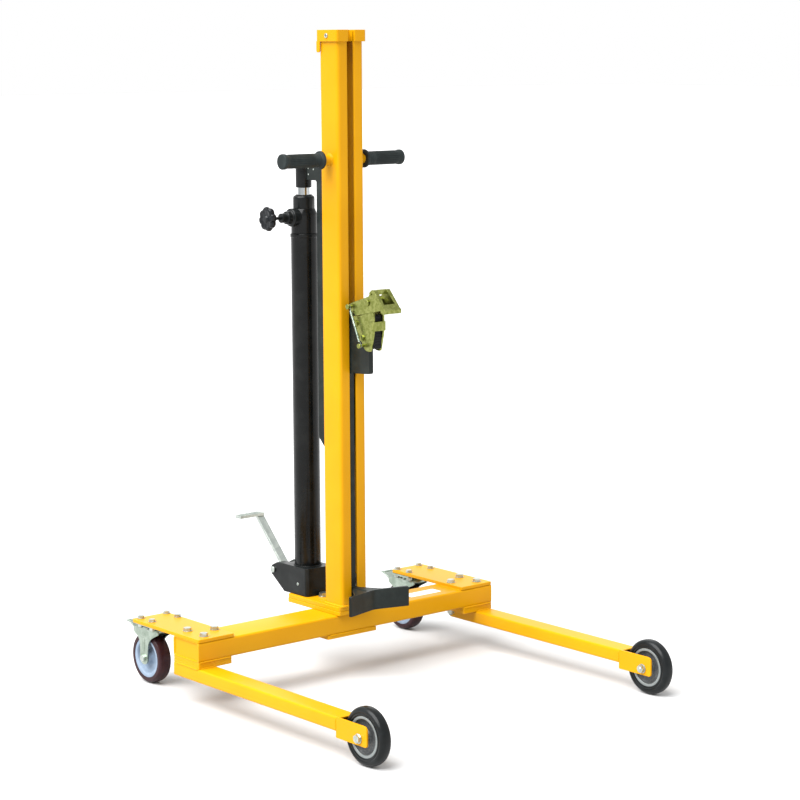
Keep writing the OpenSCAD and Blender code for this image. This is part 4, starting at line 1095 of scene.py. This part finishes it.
heads = [stand(hex_prism(12.6, 3.5), (cheek_high[0], *place), "+x") for place in BOLTS]
shanks = [stand(disc(4, -cheek_high[0] - 1, cheek_high[0] + 1, 0.3, steps=32), (0, *place), "+x")
          for place in BOLTS]
piece("gripper_bolt_heads", *GILT, heads + mirrored(heads) + shanks, ["gripper_bolts"])


def headed_pin(radius, head, reach, thick, place):
    """A bar from -reach to reach with a round head `thick` long over each end."""
    cap = stand(disc(head, reach - thick, reach, 0.9, steps=40), (0, *place), "+x")
    return [stand(disc(radius, 1 - reach, reach - 1, 0.3, steps=40), (0, *place), "+x"),
            cap] + mirrored([cap])


reach = pins_high[0]
piece("gripper_pins_turned", *GILT,
      headed_pin(5, 7, 24.5, 3, (PIVOT_Y, PIVOT_Z)) + headed_pin(3.5, 5.5, reach, 3, ANCHOR),
      ["gripper_pins"])
piece("spring_pin_turned", "beak", "gold_zinc", gold_zinc, headed_pin(3.5, 6, reach, 3, CATCH),
      ["beak_spring_pin"])

# %% Springs
WIRE, COIL, PITCH, HOOK = 0.62, 2.35, 1.5, 4.3


def spring_shells(x, first, last):
    """A close-wound coil and two hooks in the plane x: the coil's point is axis + COIL (cos a
    across + sin a sideways), the hook's is the pin's centre plus HOOK in the direction t."""
    a0, a1 = np.array([x, *first]), np.array([x, *last])
    length = np.linalg.norm(a1 - a0)
    along, sideways = (a1 - a0) / length, np.array([1.0, 0, 0])
    across = np.cross(sideways, along)
    rows = int((length - 20) / PITCH * 14)
    travel = np.linspace(10, length - 10, rows)[:, None]
    a = np.linspace(0, (length - 20) / PITCH * TURN, rows)[:, None]
    coil = a0 + along * travel + COIL * (np.cos(a) * across + np.sin(a) * sideways)
    shells = [swept(circle(WIRE, 8), coil, along)]
    t = np.radians(np.linspace(-150, 150, 30))[:, None]
    for pin, way in ((a0, along), (a1, -along)):
        loop = pin + HOOK * (-np.cos(t) * way + np.sin(t) * across)
        shells.append(swept(circle(WIRE, 8),
                            np.concatenate([loop, [pin + way * 10.4 + across * COIL]]), sideways))
    return shells


spring_x = span("beak_springs")[1][0] - 3.0
springs = spring_shells(spring_x, ANCHOR, CATCH)
piece("beak_spring_coils", "lift", "zinc", fork_zinc, springs + mirrored(springs), ["beak_springs"])
softened_copy("beak_formed", "beak", "beak", "gold_zinc", gold_zinc, 1.5)

# %% [markdown]
# ## Castors
# A swivel castor is a top plate with a ball race, a pressed fork that hangs from it, a wheel
# and a foot brake. The fork's cheeks are one outline each, with a half circle round the axle.
# All of it is drawn for the +X side about the swivel axis and then mirrored.

# %% Castor plate and fork
tread_low, tread_high = span("caster_tread_right")
TRAIL, CROWN_Z, FORK, SHEET = 34.0, span("caster_plate_right")[1][2] - 22, 19.0, 3.5
caster_z, caster_r = (tread_low[2] + tread_high[2]) / 2, (tread_high[2] - tread_low[2]) / 2
SWIVEL, WHEEL = (swivel_x, swivel_y, 0), (swivel_x, swivel_y + TRAIL, caster_z)
BRAKE = (swivel_x, swivel_y + 66, CROWN_Z - 6)


def about_swivel(pairs):
    """Pairs measured from the swivel axis and the floor, moved to the castor's own place."""
    return np.asarray(pairs, float) + [swivel_y, 0]


plate_z = mount_top - 12.0
top_plate = rectangle(swivel_x - 46, swivel_x + 46, swivel_y - 33.5, swivel_y + 33.5, 7.0)
race = rounded([(0, plate_z - 8), (15.5, plate_z - 8), (17, plate_z - 5), (17, plate_z - 1),
                (20, plate_z + 0.5), (0, plate_z + 0.5)],
               [0, 1, 2, 2, 0.5, 0], 5)
stud = rounded([(0, CROWN_Z - 5), (10, CROWN_Z - 5), (10, CROWN_Z - 0.7), (6, CROWN_Z - 0.7),
                (6, plate_z), (0, plate_z)], [0, 1, 0.3, 0.3, 0, 0], 4)
castor_top = [plate(top_plate, plate_z, plate_z + 4, "z"), stand(turned(race, 72), SWIVEL, "+z"),
              stand(turned(stud, 48), SWIVEL, "+z")]

half_turn = np.radians(np.linspace(0, -180, 17))
foot_arc = np.column_stack([TRAIL + 15 * np.cos(half_turn), caster_z + 15 * np.sin(half_turn)])
shoulder = rounded([(TRAIL - 15, caster_z), (TRAIL - 17, CROWN_Z - 34), (4, CROWN_Z - 18),
                    (-26, CROWN_Z - 4), (-26, CROWN_Z + 4),
                    (56, CROWN_Z + 4), (73, CROWN_Z), (73, CROWN_Z - 12),
                    (TRAIL + 15, CROWN_Z - 24), (TRAIL + 15, caster_z)],
                   [1, 14, 14, 5, 3, 6, 5, 6, 14, 1], 7, closed=False)
cheek = about_swivel(np.concatenate([foot_arc, shoulder[1:-1]]))
crown = rounded([(6.06, CROWN_Z), (29.5, CROWN_Z), (29.5, CROWN_Z + 6), (26, CROWN_Z + 9),
                 (17.6, CROWN_Z + 9),
                 (17.6, CROWN_Z + 5), (6.06, CROWN_Z + 5)], [0.3, 2, 3, 3, 1.5, 0.5, 0.3], 5)
fork = [plate(cheek, swivel_x + x, swivel_x + x + SHEET, "x") for x in (-FORK - SHEET, FORK)]
fork.append(stand(turned(crown, 96, wrap=True), SWIVEL, "+z"))
rib = about_swivel([(TRAIL - 3, caster_z + 16), (TRAIL + 3, caster_z + 16),
                    (TRAIL + 4, CROWN_Z - 20), (TRAIL - 4, CROWN_Z - 20)])
fork += [plate(rounded(rib, 2), swivel_x + x, swivel_x + x + 1.4, "x")
         for x in (-FORK - SHEET - 1.0, FORK + SHEET - 0.4)]
hardware = [stand(disc(5, -27, 27, 0.5, steps=40), WHEEL, "+x"),
            stand(disc(3, -21, 21, 0.5, steps=28), BRAKE, "+x")]
hardware += [stand(hex_prism(14.5, 5.5), (swivel_x + FORK + SHEET, *WHEEL[1:]), "+x"),
             stand(hex_prism(14.5, 5.5), (swivel_x - FORK - SHEET, *WHEEL[1:]), "-x")]

# %% Castor wheel and brake
w = tread_high[0] - tread_low[0]
crowned = rounded([(caster_r - 14, -w / 2), (caster_r - 5, -w / 2), (caster_r - 1.6, -w / 2 + 4),
                   (caster_r, 0),
                   (caster_r - 1.6, w / 2 - 4), (caster_r - 5, w / 2), (caster_r - 14, w / 2)],
                  [0.5, 3, 5, 14, 5, 3, 0.5], 7)
core = rounded([(5.06, -17), (15, -17), (15, -10), (18, -4), (34, -4), (37, -w / 2 + 3),
                (39.5, -w / 2 + 1), (caster_r - 14, -w / 2 + 1),
                (caster_r - 14, w / 2 - 1), (39.5, w / 2 - 1), (37, w / 2 - 3), (34, 4), (18, 4),
                (15, 10), (15, 17), (5.06, 17)],
               [0.5, 2, 2, 3, 3, 1.5, 1, 0.3, 0.3, 1, 1.5, 3, 3, 2, 2, 0.5], 5)
bearing = [stand(disc(11.5, 16.6, 17.6, 0.4, hole=5.1, steps=48), WHEEL, way)
           for way in ("+x", "-x")]
sheet = rounded(np.array([(-1, 0), (3, -5), (26, 10), (42, 12), (42, 14.6), (25, 13.2), (4, 1)])
                + [BRAKE[1], BRAKE[2]],
                [1, 2, 6, 1, 1, 6, 2], 6)
shoe = rounded(np.array([(-4, -4), (-1, -8.6), (3, -8), (4, -3)]) + [BRAKE[1], BRAKE[2]], 1.2, 4)
brake = [stand(disc(6, -FORK + 0.6, FORK - 0.6, 0.6, hole=3.06, steps=40), BRAKE, "+x"),
         plate(sheet, swivel_x - 18, swivel_x + 18, "x"),
         plate(shoe, swivel_x - 10, swivel_x + 10, "x")]
brake += [plate(rectangle(swivel_x + x, swivel_x + x + 2.4, BRAKE[1] + 29, BRAKE[1] + 40, 1.0),
                BRAKE[2] + 13.2, BRAKE[2] + 15, "z")
          for x in np.arange(-15, 14, 5.0)]

for side, turn_over in SIDES:
    wheel, swivel = f"caster_wheel_{side}", f"swivel_{side}"
    piece(f"castor_top_{side}", "frame", "zinc", fork_zinc, turn_over(castor_top),
          [f"caster_plate_{side}"], bevel=0.7)
    piece(f"castor_fork_{side}", swivel, "zinc", fork_zinc, turn_over(fork),
          [f"caster_fork_{side}"], bevel=0.8)
    piece(f"castor_axle_{side}", swivel, "zinc", zinc, turn_over(hardware))
    piece(f"castor_tread_{side}", wheel, "tread", tread_plastic,
          turn_over([stand(turned(crowned, 128, wrap=True), WHEEL, "+x")]),
          [f"caster_tread_{side}"])
    piece(f"castor_core_{side}", wheel, "caster_core", core_plastic,
          turn_over([stand(turned(core, 128, wrap=True), WHEEL, "+x")]), [f"caster_rim_{side}"])
    piece(f"castor_bearing_{side}", wheel, "zinc", zinc, turn_over(bearing))
    piece(f"castor_brake_{side}", f"brake_{side}", "zinc", fork_zinc, turn_over(brake),
          [f"caster_brake_{side}"], bevel=0.5)

# %% [markdown]
# ## Front wheels
# The front wheels are solid rubber tyres pressed on iron rims. The tyre's profile has a flat
# tread, round shoulders and a shallow groove near the rim; the rim's lip is machined bright
# while the web and the hub keep their grey paint.

# %% Tyres and rims
tyre_half, tyre_r = (tyre_high[0] - tyre_low[0]) / 2, (tyre_high[2] - tyre_low[2]) / 2
FRONT = ((tyre_low[0] + tyre_high[0]) / 2, axle_y, axle_z)
half = [(44, tyre_half - 1.2), (47, tyre_half - 0.2), (49.5, tyre_half - 1.4), (52, tyre_half),
        (56, tyre_half - 0.2),
        (60.2, tyre_half - 3.6), (tyre_r - 0.5, tyre_half - 7.5)]
section = rounded([(r, -h) for r, h in half] + [(tyre_r, 0)] + [(r, h) for r, h in half[::-1]],
                  [0.3, 1, 1, 1, 3, 3, 3, 8, 3, 3, 3, 1, 1, 1, 0.3], 6)
hub = span("wheel_rim_right")
hub_half = (hub[1][0] - hub[0][0]) / 2
web = [(5.06, hub_half), (11, hub_half), (13, hub_half - 4), (14, 8), (17, 5), (32, 5), (36.5, 9),
       (37.6, tyre_half - 3)]
web = rounded([(r, h) for r, h in web] + [(r, -h) for r, h in web[::-1]], [0.4] + [1.5] * 7
              + [1.5] * 7 + [0.4], 5)
lip = rounded([(37.2, 4), (37.2, tyre_half - 2.4), (38.4, tyre_half - 1.5), (43, tyre_half - 1.5),
               (44, tyre_half - 2.4), (44, 4)],
              [0.2, 0.6, 0.6, 0.6, 0.6, 0.2], 4)
bright = Finish("machined_iron", Metallic=0.5)
lathe = bright.noise(700.0, 3.0, 0.6, stretch=(1, 0.2, 0.2))
bright.shade(Base_Color=bright.mixed(lathe, (0.16, 0.18, 0.18), (0.26, 0.28, 0.28)), Roughness=0.36
             + lathe * 0.15)
bright.relief(lathe, 0.00008, 0.4)
for side, turn_over in SIDES:
    wheel = f"front_wheel_{side}"
    piece(f"front_tyre_{side}", wheel, "rubber", rubber,
          turn_over([stand(turned(section, 160, wrap=True), FRONT, "+x")]), [f"tyre_{side}"])
    piece(f"front_rim_{side}", wheel, "iron", iron,
          turn_over([stand(turned(web, 128, wrap=True), FRONT, "+x")]), [f"wheel_rim_{side}"])
    piece(f"rim_lip_{side}", wheel, "iron", bright.material,
          turn_over([stand(turned(lip, 128, wrap=True), FRONT, way) for way in ("+x", "-x")]))

# %% Blank label
piece("blank_label", "frame", "grip", vinyl,
      [plate(rectangle(202, 296, 27, 60, 2.0), beam_high[2] - 0.2, beam_high[2] + 0.25, "z")])

# %% [markdown]
# ## Floor, light and camera
# The studio is a plain pale floor that runs back without an edge, under a white sky. A broad
# sun above the left lights the faces that look that way, and a faint one behind the right
# keeps the far edges clear. The camera stands about five metres away with a long lens.

# %% Studio
KEY, RIM, SKY = 7.8, 0.25, 1.0
FLOOR_HALF = 60


def sun(name, toward, power, spread):
    """A broad even light that shines from `toward`; spread is its angle in degrees."""
    light = bpy.data.lights.new(name, "SUN")
    light.energy, light.angle = power, np.radians(spread)
    stand_at = bpy.data.objects.new(name, light)
    stand_at.rotation_euler = mathutils.Vector(toward).to_track_quat("Z", "Y").to_euler()
    bpy.context.scene.collection.objects.link(stand_at)


sun("key_above_left", (-0.553, 0.0, 0.833), KEY, 60.0)
sun("rim_behind", (0.5, 0.75, 0.45), RIM, 40.0)

world = bpy.data.worlds.new("studio")
bpy.context.scene.world = world
world.use_nodes = True
world.node_tree.nodes["Background"].inputs["Color"].default_value = (1.0, 1.0, 1.0, 1.0)
world.node_tree.nodes["Background"].inputs["Strength"].default_value = SKY

floor_finish = Finish("pale_floor", Roughness=0.7)
floor_finish.shade(Base_Color=floor_finish.mixed(floor_finish.noise(0.6), (0.49, 0.49, 0.49),
                                                 (0.51, 0.51, 0.51)))
floor_mesh = bpy.data.meshes.new("floor")
floor_mesh.from_pydata([(*corner, 0) for corner in rectangle(-FLOOR_HALF, FLOOR_HALF, -FLOOR_HALF,
                                                             FLOOR_HALF)], [], [(0, 1, 2, 3)])
floor_mesh.materials.append(floor_finish.material)
floor = bpy.data.objects.new("floor", floor_mesh)
bpy.context.scene.collection.objects.link(floor)

# %% Camera
LENS, SENSOR, EYE = 105.0, 36.0, (-3.30108, -3.98666, 1.44296)
turn, tilt, lean = np.radians([-39.99, 8.58, -0.30])
back = np.array([np.sin(turn) * np.cos(tilt), -np.cos(turn) * np.cos(tilt), np.sin(tilt)])
right = np.array([np.cos(turn), np.sin(turn), 0.0])
up = np.cross(back, right)
right, up = np.cos(lean) * right + np.sin(lean) * up, np.cos(lean) * up - np.sin(lean) * right
camera = bpy.data.objects.new("camera", bpy.data.cameras.new("camera"))
camera.data.lens, camera.data.sensor_width = LENS, SENSOR
camera.matrix_world = mathutils.Matrix(
    [[*map(float, (right[k], up[k], back[k], place))] for k, place in enumerate(EYE)]
    + [[0, 0, 0, 1]])
bpy.context.scene.collection.objects.link(camera)
bpy.context.scene.camera = camera
bpy.context.scene.view_settings.view_transform = "Standard"

# %% Size and finish
print("pieces:", len(made), "faces:", sum(made.values()))
